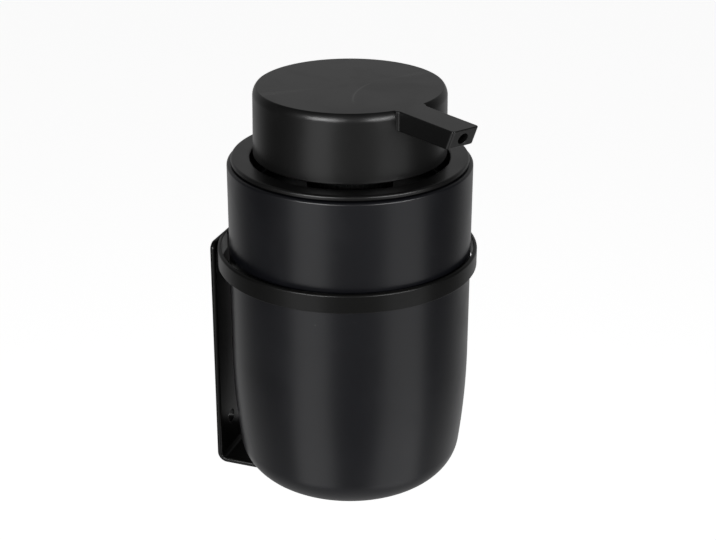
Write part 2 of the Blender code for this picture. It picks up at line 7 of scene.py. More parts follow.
import logging
import math
from dataclasses import dataclass
from enum import Enum
from typing import Any, Iterable

import bmesh
import bpy
from mathutils import Matrix, Vector


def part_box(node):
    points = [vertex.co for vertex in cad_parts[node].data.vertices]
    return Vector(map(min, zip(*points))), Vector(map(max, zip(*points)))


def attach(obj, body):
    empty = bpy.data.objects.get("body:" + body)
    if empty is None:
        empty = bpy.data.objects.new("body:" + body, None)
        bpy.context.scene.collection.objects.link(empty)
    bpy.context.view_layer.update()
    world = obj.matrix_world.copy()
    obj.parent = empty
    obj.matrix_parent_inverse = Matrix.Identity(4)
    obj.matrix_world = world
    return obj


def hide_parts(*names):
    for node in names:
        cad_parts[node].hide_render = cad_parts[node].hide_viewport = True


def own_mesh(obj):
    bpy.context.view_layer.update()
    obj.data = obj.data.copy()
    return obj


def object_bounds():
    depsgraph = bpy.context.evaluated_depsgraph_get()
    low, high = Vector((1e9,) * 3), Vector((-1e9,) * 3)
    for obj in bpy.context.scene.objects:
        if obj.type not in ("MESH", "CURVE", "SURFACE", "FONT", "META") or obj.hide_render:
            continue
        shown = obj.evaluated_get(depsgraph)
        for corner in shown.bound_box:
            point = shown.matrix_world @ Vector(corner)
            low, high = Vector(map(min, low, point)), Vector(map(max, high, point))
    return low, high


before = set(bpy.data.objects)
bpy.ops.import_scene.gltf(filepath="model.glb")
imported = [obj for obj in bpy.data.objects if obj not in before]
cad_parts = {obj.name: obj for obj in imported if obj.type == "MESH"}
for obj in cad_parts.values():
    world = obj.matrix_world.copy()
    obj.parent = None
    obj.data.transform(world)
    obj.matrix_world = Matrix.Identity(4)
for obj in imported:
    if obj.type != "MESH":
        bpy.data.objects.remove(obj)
cad_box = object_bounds()

log = logging.getLogger("soap_dispenser")

Colour = Triple = tuple[float, float, float]
Span = tuple[float, float]
Material = bpy.types.Material
Mesh = bmesh.types.BMesh
Socket = bpy.types.NodeSocket
Sockets = bpy.types.bpy_prop_collection
Tree = bpy.types.NodeTree

# Places, a clearance and angles
AXIS_Y = -0.0474
RIM_Z = 0.076425
SPOUT_AZIMUTH = math.radians(-122.5)
GAP = 0.0003
MERGE_DISTANCE = 0.000001
SHARP_ANGLE = math.radians(34)
RIM_ANGLE = math.radians(50)
QUARTER = math.radians(90)
SHADING_WEIGHT = 80

# Steps of full turns, bends, corners and edges
TURNED_LARGE = 192
TURNED_MEDIUM = 96
TURNED_SMALL = 48
BEND_STEPS = 12
CORNER_STEPS = 10
ROUNDING_STEPS = 6
EDGE_STEPS = 5

# Roundings of plain edges, from nearly sharp to soft
FAINT = 0.0001
FINE = 0.0002
PLAIN = 0.0003
SOFT = 0.0004
FULL = 0.0005


class Body(Enum):
    """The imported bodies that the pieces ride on."""

    BRACKET = "bracket"
    CONTAINER = "container"
    LID = "lid"
    PLUNGER = "plunger"
    HEAD = "head"
    INLET_BALL = "inlet_ball"
    OUTLET_BALL = "outlet_ball"


class Board:
    """A node tree with short calls that add nodes and join their sockets."""

    def __init__(self, tree: Tree) -> None:
        """Keep the tree of a material, a group or the world to work on."""
        self.tree = tree

    def add(self, kind: str, inputs: dict[str | int, Any] | None = None,
            **settings: Any) -> bpy.types.Node:
        """Add a node.

        Args:
            kind: The node's type name.
            inputs: Values or sockets for its inputs, by name or number.
            settings: The node's own properties.

        Returns:
            The new node.
        """
        node = self.tree.nodes.new(kind)
        for name, value in settings.items():
            setattr(node, name, value)
        for name, value in (inputs or {}).items():
            self.feed(node.inputs[name], value)
        return node

    def feed(self, socket: Socket, value: Any) -> None:
        """Give an input a constant, or link another node's output to it.

        Args:
            socket: The input.
            value: A constant or an output socket.
        """
        if isinstance(value, Socket):
            self.tree.links.new(value, socket)
        else:
            socket.default_value = value

    def maths(self, operation: str, first: Any, second: Any = 0.0) -> Socket:
        """Return the result of a Math node."""
        return self.add("ShaderNodeMath", {0: first, 1: second}, operation=operation).outputs[0]

    def times(self, first: Any, second: Any) -> Socket:
        """Return the product of two values."""
        return self.maths("MULTIPLY", first, second)

    def vectors(self, operation: str, inputs: dict[str | int, Any]) -> Sockets:
        """Return the outputs of a Vector Math node, a vector and a value."""
        return self.add("ShaderNodeVectorMath", inputs, operation=operation).outputs

    def blend(self, share: Any, first: Any, second: Any) -> Socket:
        """Mix two colours, with the second one's share."""
        return self.add("ShaderNodeMix", {0: share, 6: first, 7: second}, data_type="RGBA").outputs[2]

    def noise(self, vector: Any, scale: Any, detail: float = 2.0, stir: float = 0.0) -> Socket:
        """Return a Noise texture's factor, with its scale in cells a metre."""
        inputs = {"Vector": vector, "Scale": scale, "Detail": detail, "Distortion": stir}
        return self.add("ShaderNodeTexNoise", inputs).outputs["Fac"]

    def span(self, value: Any, start: float, end: float, low: Any = 0.0, high: Any = 1.0) -> Socket:
        """Map a value smoothly from start and end to low and high, held at both ends."""
        inputs = {"Value": value, "From Min": start, "From Max": end, "To Min": low, "To Max": high}
        return self.add("ShaderNodeMapRange", inputs, interpolation_type="SMOOTHSTEP").outputs["Result"]


def shared_group(name: str, inputs: dict[str, float | None], outputs: Iterable[str]
                 ) -> tuple[Board, Sockets, Sockets]:
    """Start a shader node group with named sockets.

    Args:
        name: The group's name.
        inputs: The default of each input, or None for a vector.
        outputs: The names of the outputs, which are all plain values.

    Returns:
        The group's board, what it is given, and the sockets that take what it makes.
    """
    tree = bpy.data.node_groups.new(name, "ShaderNodeTree")
    for socket, default in inputs.items():
        kind = "NodeSocketVector" if default is None else "NodeSocketFloat"
        made = tree.interface.new_socket(socket, in_out="INPUT", socket_type=kind)
        if default is not None:
            made.default_value = default
    for socket in outputs:
        tree.interface.new_socket(socket, in_out="OUTPUT", socket_type="NodeSocketFloat")
    board = Board(tree)
    return board, board.add("NodeGroupInput").outputs, board.add("NodeGroupOutput").inputs


class Effects:
    """The surface effects that several finishes share, one node group each.

    Scales are in cells a metre, and spans are in the values of the pattern that they read.
    """

    RIPPLE_SCALE_SHARE = 0.45
    PEBBLE_SHARE = 0.55
    TONE_SCALE_SHARE = 0.012
    SMUDGE_STIR = 1.1
    SMUDGE_SPAN = (0.46, 0.72)
    HAIRLINE_SCALE_SHARE = 1.6
    HAIRLINE_STIR = 0.4
    HAIRLINE_VALUE = 0.5
    HAIRLINE_SPAN = (0.0, 0.0022, 1.0, 0.0)
    HAIRLINE_PLACE_SHARE = 2.7
    HAIRLINE_PLACES = (0.62, 0.70)
    UPWARD_SPAN = (-0.2, 1.0, 0.15, 1.0)
    FILM_SCALE = 90.0
    FILM_SPAN = (0.35, 0.8)
    SPECK_SIZES = (0.03, 0.07, 1.0, 0.0)
    SPECK_CHOICE = (0.955, 0.97)
    # Edges painted lighter: partly rubbed by hands, partly a painted highlight along the edges
    WEAR_AND_SHEEN_SCALE = 160.0
    WEAR_AND_SHEEN_PATCHES = (0.30, 0.65, 0.35, 1.0)

    def __init__(self) -> None:
        """Build the groups once."""
        self.grain = self._moulded_grain()
        self.marks = self._handling_marks()
        self.dust = self._settled_dust()
        self.wear_and_sheen = self._edge_wear_and_sheen()

    def _moulded_grain(self) -> Tree:
        """Return the group for the fine, even grain of a moulded or coated face."""
        board, given, made = shared_group("moulded_grain", {"Vector": None, "Scale": 3000.0},
                                          ("Height", "Tone"))
        vector, scale = given["Vector"], given["Scale"]
        pebble = board.add("ShaderNodeTexVoronoi", {"Vector": vector, "Scale": scale},
                           feature="SMOOTH_F1").outputs["Distance"]
        ripple = board.noise(vector, board.times(scale, self.RIPPLE_SCALE_SHARE), detail=3.0)
        height = board.maths("ADD", board.times(pebble, self.PEBBLE_SHARE),
                             board.times(ripple, 1.0 - self.PEBBLE_SHARE))
        tone = board.noise(vector, board.times(scale, self.TONE_SCALE_SHARE), detail=4.0)
        board.feed(made["Height"], height)
        board.feed(made["Tone"], tone)
        return board.tree

    def _handling_marks(self) -> Tree:
        """Return the group for smudges left by hands and for short, thin hairlines."""
        board, given, made = shared_group("handling_marks", {"Vector": None, "Scale": 40.0},
                                          ("Smudge", "Hairline"))
        vector, scale = given["Vector"], given["Scale"]
        cloud = board.noise(vector, scale, detail=5.0, stir=self.SMUDGE_STIR)
        board.feed(made["Smudge"], board.span(cloud, *self.SMUDGE_SPAN))
        line = board.noise(vector, board.times(scale, self.HAIRLINE_SCALE_SHARE), detail=0.0,
                           stir=self.HAIRLINE_STIR)
        off = board.maths("ABSOLUTE", board.maths("SUBTRACT", line, self.HAIRLINE_VALUE))
        thin = board.span(off, *self.HAIRLINE_SPAN)
        spread = board.noise(vector, board.times(scale, self.HAIRLINE_PLACE_SHARE))
        board.feed(made["Hairline"], board.times(thin, board.span(spread, *self.HAIRLINE_PLACES)))
        return board.tree

    def _settled_dust(self) -> Tree:
        """Return the group for a trace of dust and single specks, most of all on upward faces."""
        board, given, made = shared_group("settled_dust", {"Vector": None, "Specks": 260.0},
                                          ("Film", "Speck"))
        vector = given["Vector"]
        normal = board.add("ShaderNodeNewGeometry").outputs["Normal"]
        parts = board.add("ShaderNodeSeparateXYZ", {"Vector": normal}).outputs
        upward = board.span(parts["Z"], *self.UPWARD_SPAN)
        film = board.span(board.noise(vector, self.FILM_SCALE, detail=6.0), *self.FILM_SPAN)
        board.feed(made["Film"], board.times(upward, film))
        cells = board.add("ShaderNodeTexVoronoi", {"Vector": vector, "Scale": given["Specks"]}).outputs
        near = board.span(cells["Distance"], *self.SPECK_SIZES)
        chosen = board.add("ShaderNodeSeparateColor", {"Color": cells["Color"]}).outputs["Red"]
        board.feed(made["Speck"], board.times(near, board.span(chosen, *self.SPECK_CHOICE)))
        return board.tree

    def _edge_wear_and_sheen(self) -> Tree:
        """Return the group that paints edges lighter and a little smoother: partly rubbed by hands,
        partly a painted highlight along the edges.
        """
        board, given, made = shared_group("edge_wear_and_sheen", {"Vector": None, "Start": 0.52, "End": 0.60},
                                          ("Wear_and_sheen",))
        sharp = board.add("ShaderNodeNewGeometry").outputs["Pointiness"]
        # Sharp edges are painted lighter, partly as rubbing and partly as a painted highlight
        worn_and_sheen = board.add("ShaderNodeMapRange", {"Value": sharp, "From Min": given["Start"],
                                                "From Max": given["End"]}).outputs["Result"]
        patches = board.noise(given["Vector"], self.WEAR_AND_SHEEN_SCALE, detail=4.0)
        board.feed(made["Wear_and_sheen"], board.times(worn_and_sheen, board.span(patches, *self.WEAR_AND_SHEEN_PATCHES)))
        return board.tree


def grey(level: float) -> tuple[float, float, float, float]:
    """Return an opaque neutral colour of one level."""
    return (level, level, level, 1.0)


class Canvas:
    """A new Principled material, painted in Object coordinates."""

    def __init__(self, name: str, plain: dict[str, Any]) -> None:
        """Start the material.

        Args:
            name: The material's name.
            plain: The values of sockets that are the same all over, by name.
        """
        self.material = bpy.data.materials.new(name)
        self.material.use_nodes = True
        self.board = Board(self.material.node_tree)
        self.place = self.board.add("ShaderNodeTexCoord").outputs["Object"]
        self.sockets = self.material.node_tree.nodes["Principled BSDF"].inputs
        for socket, value in plain.items():
            self.sockets[socket].default_value = value

    def group(self, tree: Tree, **inputs: Any) -> Sockets:
        """Place a shared group, in Object coordinates unless a Vector is given; return its outputs."""
        return self.board.add("ShaderNodeGroup", {"Vector": self.place, **inputs}, node_tree=tree).outputs

    def paint(self, colour: Socket, roughness: Socket, height: Socket, depth: float) -> Material:
        """Join a colour, a roughness and a fine relief to the material.

        Args:
            colour: The colour.
            roughness: The roughness.
            height: The relief's height, from 0 to 1.
            depth: The relief's depth in metres.

        Returns:
            The finished material.
        """
        bump = self.board.add("ShaderNodeBump", {"Strength": 1.0, "Distance": depth, "Height": height})
        for name, value in (("Base Color", colour), ("Roughness", roughness),
                            ("Normal", bump.outputs["Normal"])):
            self.board.feed(self.sockets[name], value)
        return self.material


@dataclass(frozen=True)
class ArcMark:
    """One faint curved scratch on the cap's top, in the row frame."""

    centre_x: float = -0.0047
    centre_y: float = -0.0827
    radius: float = 0.0306
    middle: float = math.radians(95)
    half_span: float = math.radians(26)
    width: float = 0.0005
    level: float = 0.1029
    share: float = 0.12

    def mask(self, canvas: Canvas) -> Socket:
        """Return the scratch's mask.

        Args:
            canvas: The material that it is for.

        Returns:
            The mask's socket.
        """
        board = canvas.board
        parts = board.add("ShaderNodeSeparateXYZ", {"Vector": canvas.place}).outputs
        across = board.maths("SUBTRACT", parts["X"], self.centre_x)
        along = board.maths("SUBTRACT", parts["Y"], self.centre_y)
        squares = board.maths("ADD", board.times(across, across), board.times(along, along))
        off = board.maths("ABSOLUTE", board.maths("SUBTRACT", board.maths("SQRT", squares), self.radius))
        line = board.span(off, self.width / 4, self.width, 1.0, 0.0)
        angle = board.maths("SUBTRACT", board.maths("ARCTAN2", along, across), self.middle)
        ends = board.span(board.maths("ABSOLUTE", angle), self.half_span / 2, self.half_span, 1.0, 0.0)
        level = board.span(parts["Z"], self.level - self.width, self.level)
        return board.times(board.times(board.times(line, ends), level), self.share)


@dataclass(frozen=True)
class BlackShell:
    """Satin black plastic or coating with a fine grain, faint smudges, dust, and lighter edges that are
    partly rubbed and partly a painted highlight.

    A level is a grey, a share is how much of a layer shows, and a play is how far a value varies.
    """

    name: str
    colour: Colour = (0.0022, 0.0022, 0.0022)
    # Colour of the lighter edges: partly rubbed, partly a painted highlight
    worn_and_sheen_colour: Colour = (0.030, 0.030, 0.031)
    dust_level: float = 0.30
    speck_level: float = 0.32
    tone_span: tuple[float, ...] = (0.3, 0.7, 0.90, 1.12)
    roughness: float = 0.30
    roughness_play: float = 0.04
    ior: float = 1.35
    grain_scale: float = 3600.0
    grain_depth: float = 0.000006
    dust_share: float = 0.0015
    speck_share: float = 0.10
    wear_and_sheen_share: float = 0.10
    hairline_share: float = 0.04
    arc: ArcMark | None = None

    def material(self, effects: Effects) -> Material:
        """Build the material.

        Args:
            effects: The shared effect groups.

        Returns:
            The new material.
        """
        canvas = Canvas(self.name, {"IOR": self.ior})
        board = canvas.board
        grain = canvas.group(effects.grain, Scale=self.grain_scale)
        marks, dust, wear_and_sheen = (canvas.group(tree) for tree in (effects.marks, effects.dust, effects.wear_and_sheen))
        tone = board.span(grain["Tone"], *self.tone_span)
        colour = board.vectors("SCALE", {0: self.colour, "Scale": tone})[0]
        # The edge layer paints edges lighter: partly rubbed, partly a painted highlight
        for mask, share, layer in ((wear_and_sheen["Wear_and_sheen"], self.wear_and_sheen_share, (*self.worn_and_sheen_colour, 1.0)),
                                   (dust["Film"], self.dust_share, grey(self.dust_level)),
                                   (dust["Speck"], self.speck_share, grey(self.speck_level)),
                                   (marks["Hairline"], self.hairline_share, grey(self.dust_level))):
            colour = board.blend(board.times(mask, share), colour, layer)
        if self.arc:
            colour = board.blend(self.arc.mask(canvas), colour, grey(self.dust_level))
        rough = board.maths("ADD", board.times(marks["Smudge"], self.roughness_play), self.roughness)
        rough = board.maths("SUBTRACT", rough, board.times(wear_and_sheen["Wear_and_sheen"], self.roughness_play))
        return canvas.paint(colour, rough, grain["Height"], self.grain_depth)


@dataclass(frozen=True)
class Toned:
    """A finish with two close tones in its grain, and smudges that vary its roughness.

    A stretch draws the grain out, and plain holds the sockets that are the same all over.
    """

    name: str
    colour: Colour
    second_colour: Colour
    tone_span: Span
    roughness: float
    roughness_play: float
    grain_scale: float
    grain_depth: float
    mark_scale: float
    stretch: Triple | None
    plain: tuple[tuple[str, float], ...]

    def material(self, effects: Effects) -> Material:
        """Build the material.

        Args:
            effects: The shared effect groups.

        Returns:
            The new material.
        """
        canvas = Canvas(self.name, dict(self.plain))
        board, vector = canvas.board, canvas.place
        if self.stretch:
            vector = board.add("ShaderNodeMapping", {"Vector": vector, "Scale": self.stretch}).outputs[0]
        grain = canvas.group(effects.grain, Vector=vector, Scale=self.grain_scale)
        marks = canvas.group(effects.marks, Scale=self.mark_scale)
        tone = board.span(grain["Tone"], *self.tone_span)
        colour = board.blend(tone, (*self.colour, 1.0), (*self.second_colour, 1.0))
        rough = board.maths("ADD", board.times(marks["Smudge"], self.roughness_play), self.roughness)
        return canvas.paint(colour, rough, grain["Height"], self.grain_depth)


@dataclass(frozen=True)
class NaturalPlastic(Toned):
    """Milky moulded plastic of the pump's inner pieces, with faint flow tones."""

    name: str = "natural_moulded_plastic"
    colour: Colour = (0.76, 0.76, 0.73)
    second_colour: Colour = (0.684, 0.6916, 0.657)
    tone_span: Span = (0.35, 0.65)
    roughness: float = 0.38
    roughness_play: float = 0.08
    grain_scale: float = 2400.0
    grain_depth: float = 0.000004
    mark_scale: float = 120.0
    stretch: Triple | None = None
    plain: tuple[tuple[str, float], ...] = (("Subsurface Weight", 0.25), ("Subsurface Scale", 0.0012))


@dataclass(frozen=True)
class BrightSteel(Toned):
    """Bare steel of the spring and the valve balls, with fine drawing lines."""

    name: str = "drawn_spring_steel"
    colour: Colour = (0.60, 0.60, 0.61)
    second_colour: Colour = (0.492, 0.492, 0.5124)
    tone_span: Span = (0.3, 0.7)
    roughness: float = 0.20
    roughness_play: float = 0.12
    grain_scale: float = 1800.0
    grain_depth: float = 0.000003
    mark_scale: float = 200.0
    stretch: Triple | None = (1.0, 1.0, 12.0)
    plain: tuple[tuple[str, float], ...] = (("Metallic", 1.0),)


@dataclass(frozen=True)
class SealRubber:
    """Matt dark rubber of the seals, with a fine bloom."""

    name: str = "seal_rubber_dark"
    colour: Colour = (0.028, 0.028, 0.029)
    bloom_level: float = 0.25
    bloom_share: float = 0.05
    tone_span: Span = (0.3, 0.7)
    roughness_span: Span = (0.68, 0.80)
    grain_scale: float = 5200.0
    grain_depth: float = 0.000012

    def material(self, effects: Effects) -> Material:
        """Build the material.

        Args:
            effects: The shared effect groups.

        Returns:
            The new material.
        """
        canvas = Canvas(self.name, {})
        board = canvas.board
        grain = canvas.group(effects.grain, Scale=self.grain_scale)
        bloom = board.times(canvas.group(effects.dust)["Film"], self.bloom_share)
        colour = board.blend(bloom, (*self.colour, 1.0), grey(self.bloom_level))
        rough = board.span(grain["Tone"], *self.tone_span, *self.roughness_span)
        return canvas.paint(colour, rough, grain["Height"], self.grain_depth)


def new_verts(made: dict[str, Any], key: str = "geom") -> list[bmesh.types.BMVert]:
    """Return the vertices among what an operator made."""
    return [item for item in made[key] if isinstance(item, bmesh.types.BMVert)]


def crosses(edge: bmesh.types.BMEdge, level: float) -> bool:
    """Say whether an edge runs from one side of a level to the other."""
    return (edge.verts[0].co.z > level) != (edge.verts[1].co.z > level)


def moved(shape: Mesh, *place: float) -> Mesh:
    """Move a whole mesh by x, y and z, and return it."""
    bmesh.ops.translate(shape, verts=shape.verts[:], vec=place)
    return shape


def placed(shape: Mesh, place: Matrix) -> Mesh:
    """Transform a whole mesh, and return it."""
    bmesh.ops.transform(shape, matrix=place, verts=shape.verts[:])
    return shape


def rounded(shape: Mesh, geom: list[Any], radius: float, steps: int, affect: str = "EDGES",
            clamp: bool = False) -> None:
    """Round EDGES, or corner VERTICES of an outline; clamp holds back roundings that meet."""
    bmesh.ops.bevel(shape, geom=geom, offset=radius, offset_type="OFFSET", segments=steps,
                    profile=0.5, affect=affect, material=-1, clamp_overlap=clamp)


def faced_out(shape: Mesh, fill: bool = False) -> Mesh:
    """Turn a closed mesh's faces outwards.

    Args:
        shape: The mesh.
        fill: Whether its open rims are filled first.

    Returns:
        The same mesh.
    """
    if fill:
        bmesh.ops.holes_fill(shape, edges=[edge for edge in shape.edges if edge.is_boundary])
    bmesh.ops.recalc_face_normals(shape, faces=shape.faces[:])
    return shape


class Outline:
    """A closed outline in the plane of radius and height, drawn by a pen and turned about the axis."""

    def __init__(self, radius: float, height: float) -> None:
        """Set the pen down.

        Args:
            radius: The start's distance from the axis.
            height: The start's height over the container's rim.
        """
        self.mesh = bmesh.new()
        self.start = self.mesh.verts.new((radius, 0.0, height))
        self.pen = self.start
        self.corners: list[tuple[bmesh.types.BMVert, float]] = []

    def to(self, radius: float, height: float, rounding: float = 0.0) -> "Outline":
        """Draw a straight line to a corner, which may be rounded.

        Args:
            radius: The corner's distance from the axis.
            height: The corner's height over the rim.
            rounding: The radius of the corner where it is square, or zero for a sharp one.

        Returns:
            The outline itself.
        """
        corner = self.mesh.verts.new((radius, 0.0, height))
        self.mesh.edges.new((self.pen, corner))
        self.pen = corner
        if rounding:
            self.corners.append((corner, rounding))
        return self

    def sweep(self, radius: float, height: float, degrees: float, steps: int) -> "Outline":
        """Draw an arc about a centre, downwards on its outer side where the angle is positive.

        Args:
            radius: The centre's distance from the axis.
            height: The centre's height over the rim.
            degrees: The arc's angle.
            steps: How many straight steps it has.

        Returns:
            The outline itself.
        """
        swung = bmesh.ops.spin(self.mesh, geom=[self.pen], cent=(radius, 0.0, height),
                               axis=(0.0, 1.0, 0.0), angle=math.radians(degrees), steps=steps,
                               use_merge=False)
        self.pen = new_verts(swung, "geom_last")[0]
        return self

    def turned(self, steps: int) -> Mesh:
        """Close the outline, round its corners and turn it about the axis.

        Args:
            steps: How many steps the full turn has.

        Returns:
            The turned solid's mesh, in the row frame.
        """
        if self.pen.co.x > MERGE_DISTANCE or self.start.co.x > MERGE_DISTANCE:
            self.mesh.edges.new((self.pen, self.start))
        for corner, rounding in self.corners:
            rounded(self.mesh, [corner], rounding, ROUNDING_STEPS, "VERTICES")
        bmesh.ops.spin(self.mesh, geom=self.mesh.verts[:] + self.mesh.edges[:], cent=(0.0, 0.0, 0.0),
                       axis=(0.0, 0.0, 1.0), angle=math.tau, steps=steps, use_merge=True)
        bmesh.ops.remove_doubles(self.mesh, verts=self.mesh.verts[:], dist=MERGE_DISTANCE)
        return moved(faced_out(self.mesh), 0.0, AXIS_Y, RIM_Z)


def ring(*walls: tuple[float, ...], steps: int = TURNED_MEDIUM) -> Mesh:
    """Turn a ring whose section is drawn wall by wall, back to the middle of the first one.

    Args:
        walls: Each wall's radius, the rounding of its first corner, the height that it runs to
            and the rounding there. It starts where the one before it ended, or at a fifth value.
        steps: How many steps the full turn has.

    Returns:
        The ring's mesh, in the row frame.
    """
    corners = []
    height = walls[-1][2]
    for radius, first, end, last, *start in walls:
        corners += [(radius, *(start or [height]), first), (radius, end, last)]
        height = end
    pen = Outline(walls[0][0], (corners[0][1] + corners[1][1]) / 2)
    for corner in corners[1:] + corners[:1]:
        pen.to(*corner)
    return pen.turned(steps)


def rod(radius: float, low: float, high: float, lip: float = 0.0) -> Mesh:
    """Return an upright rod about the origin's Z axis, which may flare to a lip at its top.

    Args:
        radius: The rod's radius.
        low: The height of its bottom.
        high: The height of its top, where the flare has its full width.
        lip: The flare's radius, a quarter circle that rounds the edge of the hole that it cuts.

    Returns:
        The rod's mesh.
    """
    pen = Outline(0.0, low).to(radius, low)
    if lip:
        pen.to(radius, high - lip).sweep(radius + lip, high - lip, 90.0, ROUNDING_STEPS)
    pen.to(radius + lip, high + lip).to(0.0, high + lip)
    return moved(pen.turned(TURNED_SMALL), 0.0, -AXIS_Y, -RIM_Z)


def to_object(name: str, shape: Mesh) -> bpy.types.Object:
    """Write a mesh to a new object at the origin, and free it.

    Args:
        name: The object's name.
        shape: The mesh.

    Returns:
        The new object.
    """
    mesh = bpy.data.meshes.new(name)
    shape.to_mesh(mesh)
    shape.free()
    piece = bpy.data.objects.new(name, mesh)
    bpy.context.scene.collection.objects.link(piece)
    return piece


def carved(shape: Mesh, tools: Iterable[tuple[Mesh, str]]) -> Mesh:
    """Join solids to a mesh or cut them from it.

    Args:
        shape: The mesh, which is freed.
        tools: The solids, each with UNION or DIFFERENCE.

    Returns:
        The mesh of what is left.
    """
    piece = to_object("piece", shape)
    guides = [piece]
    for tool, operation in tools:
        guides.append(to_object("guide", tool))
        boolean = piece.modifiers.new("guide", "BOOLEAN")
        boolean.operation = operation
        boolean.solver = "EXACT"
        boolean.object = guides[-1]
    result = bmesh.new()
    result.from_object(piece, bpy.context.evaluated_depsgraph_get())
    for guide in guides:
        bpy.data.objects.remove(guide)
    bmesh.ops.remove_doubles(result, verts=result.verts[:], dist=MERGE_DISTANCE)
    bmesh.ops.dissolve_degenerate(result, edges=result.edges[:], dist=MERGE_DISTANCE)
    return result


def dress(name: str, shape: Mesh, node: str, body: Body, finish: Material
          ) -> bpy.types.Object:
    """Finish a piece: smooth shading, its material, its body and the CAD node that it stands for.

    Args:
        name: The piece's name.
        shape: Its mesh.
        node: The CAD node that it replaces.
        body: The body that it rides on.
        finish: Its material.

    Returns:
        The piece.
    """
    piece = to_object(name, shape)
    piece.data.materials.append(finish)
    piece.data.shade_smooth()
    piece.data.set_sharp_from_angle(angle=SHARP_ANGLE)
    even = piece.modifiers.new("even_shading", "WEIGHTED_NORMAL")
    even.keep_sharp = True
    even.weight = SHADING_WEIGHT
    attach(piece, body.value)
    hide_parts(node)
    log.info("%s: %d faces, rides on %s", piece.name, len(piece.data.polygons), body.value)
    return piece


@dataclass
class WallBracket:
    """The steel bracket: a plate that bends forward into a shelf, and a ring round the container."""

    plate_width: float = 0.0312
    plate_thickness: float = 0.0020
    plate_edge: float = 0.0009
    plate_corner: float = 0.0030
    bend_inside: float = 0.0018
    shelf_depth: float = 0.0550
    shelf_corner: float = 0.0040
    plate_top: float = -0.0319
    shelf_bottom: float = -0.12095
    hole_radius: float = 0.0025
    hole_lip: float = 0.0001
    hole_spread: float = 0.0060
    hole_heights: Span = (-0.10595, -0.0450)
    ring_radius: float = 0.0457
    ring_thickness: float = 0.0013
    ring_top: float = -0.0310
    ring_height: float = 0.0067
    ring_edge: float = 0.0009
    ring_offset: float = 0.0010

    def build(self, coat: Material) -> None:
        """Make and dress the plate and the ring.

        Args:
            coat: The powder coat.
        """
        plate = carved(self._plate(), [(self._hole(x, z), "DIFFERENCE") for z in self.hole_heights
                                       for x in (-self.hole_spread, self.hole_spread)])
        dress("wall_plate_coated", plate, "wall_plate", Body.BRACKET, coat)
        dress("support_ring_coated", self._ring(), "support_ring", Body.BRACKET, coat)

    def _plate(self) -> Mesh:
        """Return the bent plate, with its edges rounded."""
        shape = bmesh.new()
        low, top = self.shelf_bottom + RIM_Z, self.plate_top + RIM_Z
        shelf = low + self.plate_thickness
        front, end = -self.plate_thickness, -self.shelf_depth
        points = ((0.0, top), (0.0, low), (end, low), (end, shelf), (front, shelf), (front, top))
        side = shape.faces.new([shape.verts.new((-self.plate_width / 2, y, z)) for y, z in points])
        pulled = bmesh.ops.extrude_face_region(shape, geom=[side])
        bmesh.ops.translate(shape, verts=new_verts(pulled), vec=(self.plate_width, 0.0, 0.0))
        for y, z, radius in ((0.0, low, self.bend_inside + self.plate_thickness),
                             (front, shelf, self.bend_inside)):
            bend = [edge for edge in shape.edges
                    if all(abs(v.co.y - y) + abs(v.co.z - z) < MERGE_DISTANCE for v in edge.verts)]
            rounded(shape, bend, radius, BEND_STEPS)
        fronts = [edge for edge in shape.edges
                  if all(v.co.y < end + MERGE_DISTANCE for v in edge.verts)
                  and abs(edge.verts[0].co.z - edge.verts[1].co.z) > MERGE_DISTANCE]
        tops = [edge for edge in shape.edges
                if all(v.co.z > top - MERGE_DISTANCE for v in edge.verts)
                and abs(edge.verts[0].co.y - edge.verts[1].co.y) > MERGE_DISTANCE]
        rounded(shape, fronts, self.shelf_corner, CORNER_STEPS)
        rounded(shape, tops, self.plate_corner, CORNER_STEPS)
        rims = [edge for edge in faced_out(shape).edges if edge.calc_face_angle(0.0) > RIM_ANGLE]
        rounded(shape, rims, self.plate_edge, EDGE_STEPS, clamp=True)
        return shape

    def _hole(self, x: float, height: float) -> Mesh:
        """Return the cutter of a screw hole, by its place across the plate and its height."""
        place = Matrix.Translation((x, 0.0, height + RIM_Z)) @ Matrix.Rotation(QUARTER, 4, "X")
        return placed(rod(self.hole_radius, -self.plate_thickness, self.plate_thickness,
                          self.hole_lip), place)

    def _ring(self) -> Mesh:
        """Return the flat strip, turned, moved to its place and cut flat at the plate."""
        edge = self.ring_edge
        low = self.ring_top - self.ring_height
        shape = ring((self.ring_radius - self.ring_thickness, edge / 3, low, edge / 3),
                     (self.ring_radius, edge / 3, self.ring_top, edge), steps=TURNED_LARGE)
        moved(shape, 0.0, self.ring_offset, 0.0)
        bmesh.ops.bisect_plane(shape, geom=shape.verts[:] + shape.edges[:] + shape.faces[:],
                               dist=MERGE_DISTANCE, plane_co=(0.0, -self.plate_thickness - GAP, 0.0),
                               plane_no=(0.0, 1.0, 0.0), clear_outer=True)
        return faced_out(shape, fill=True)


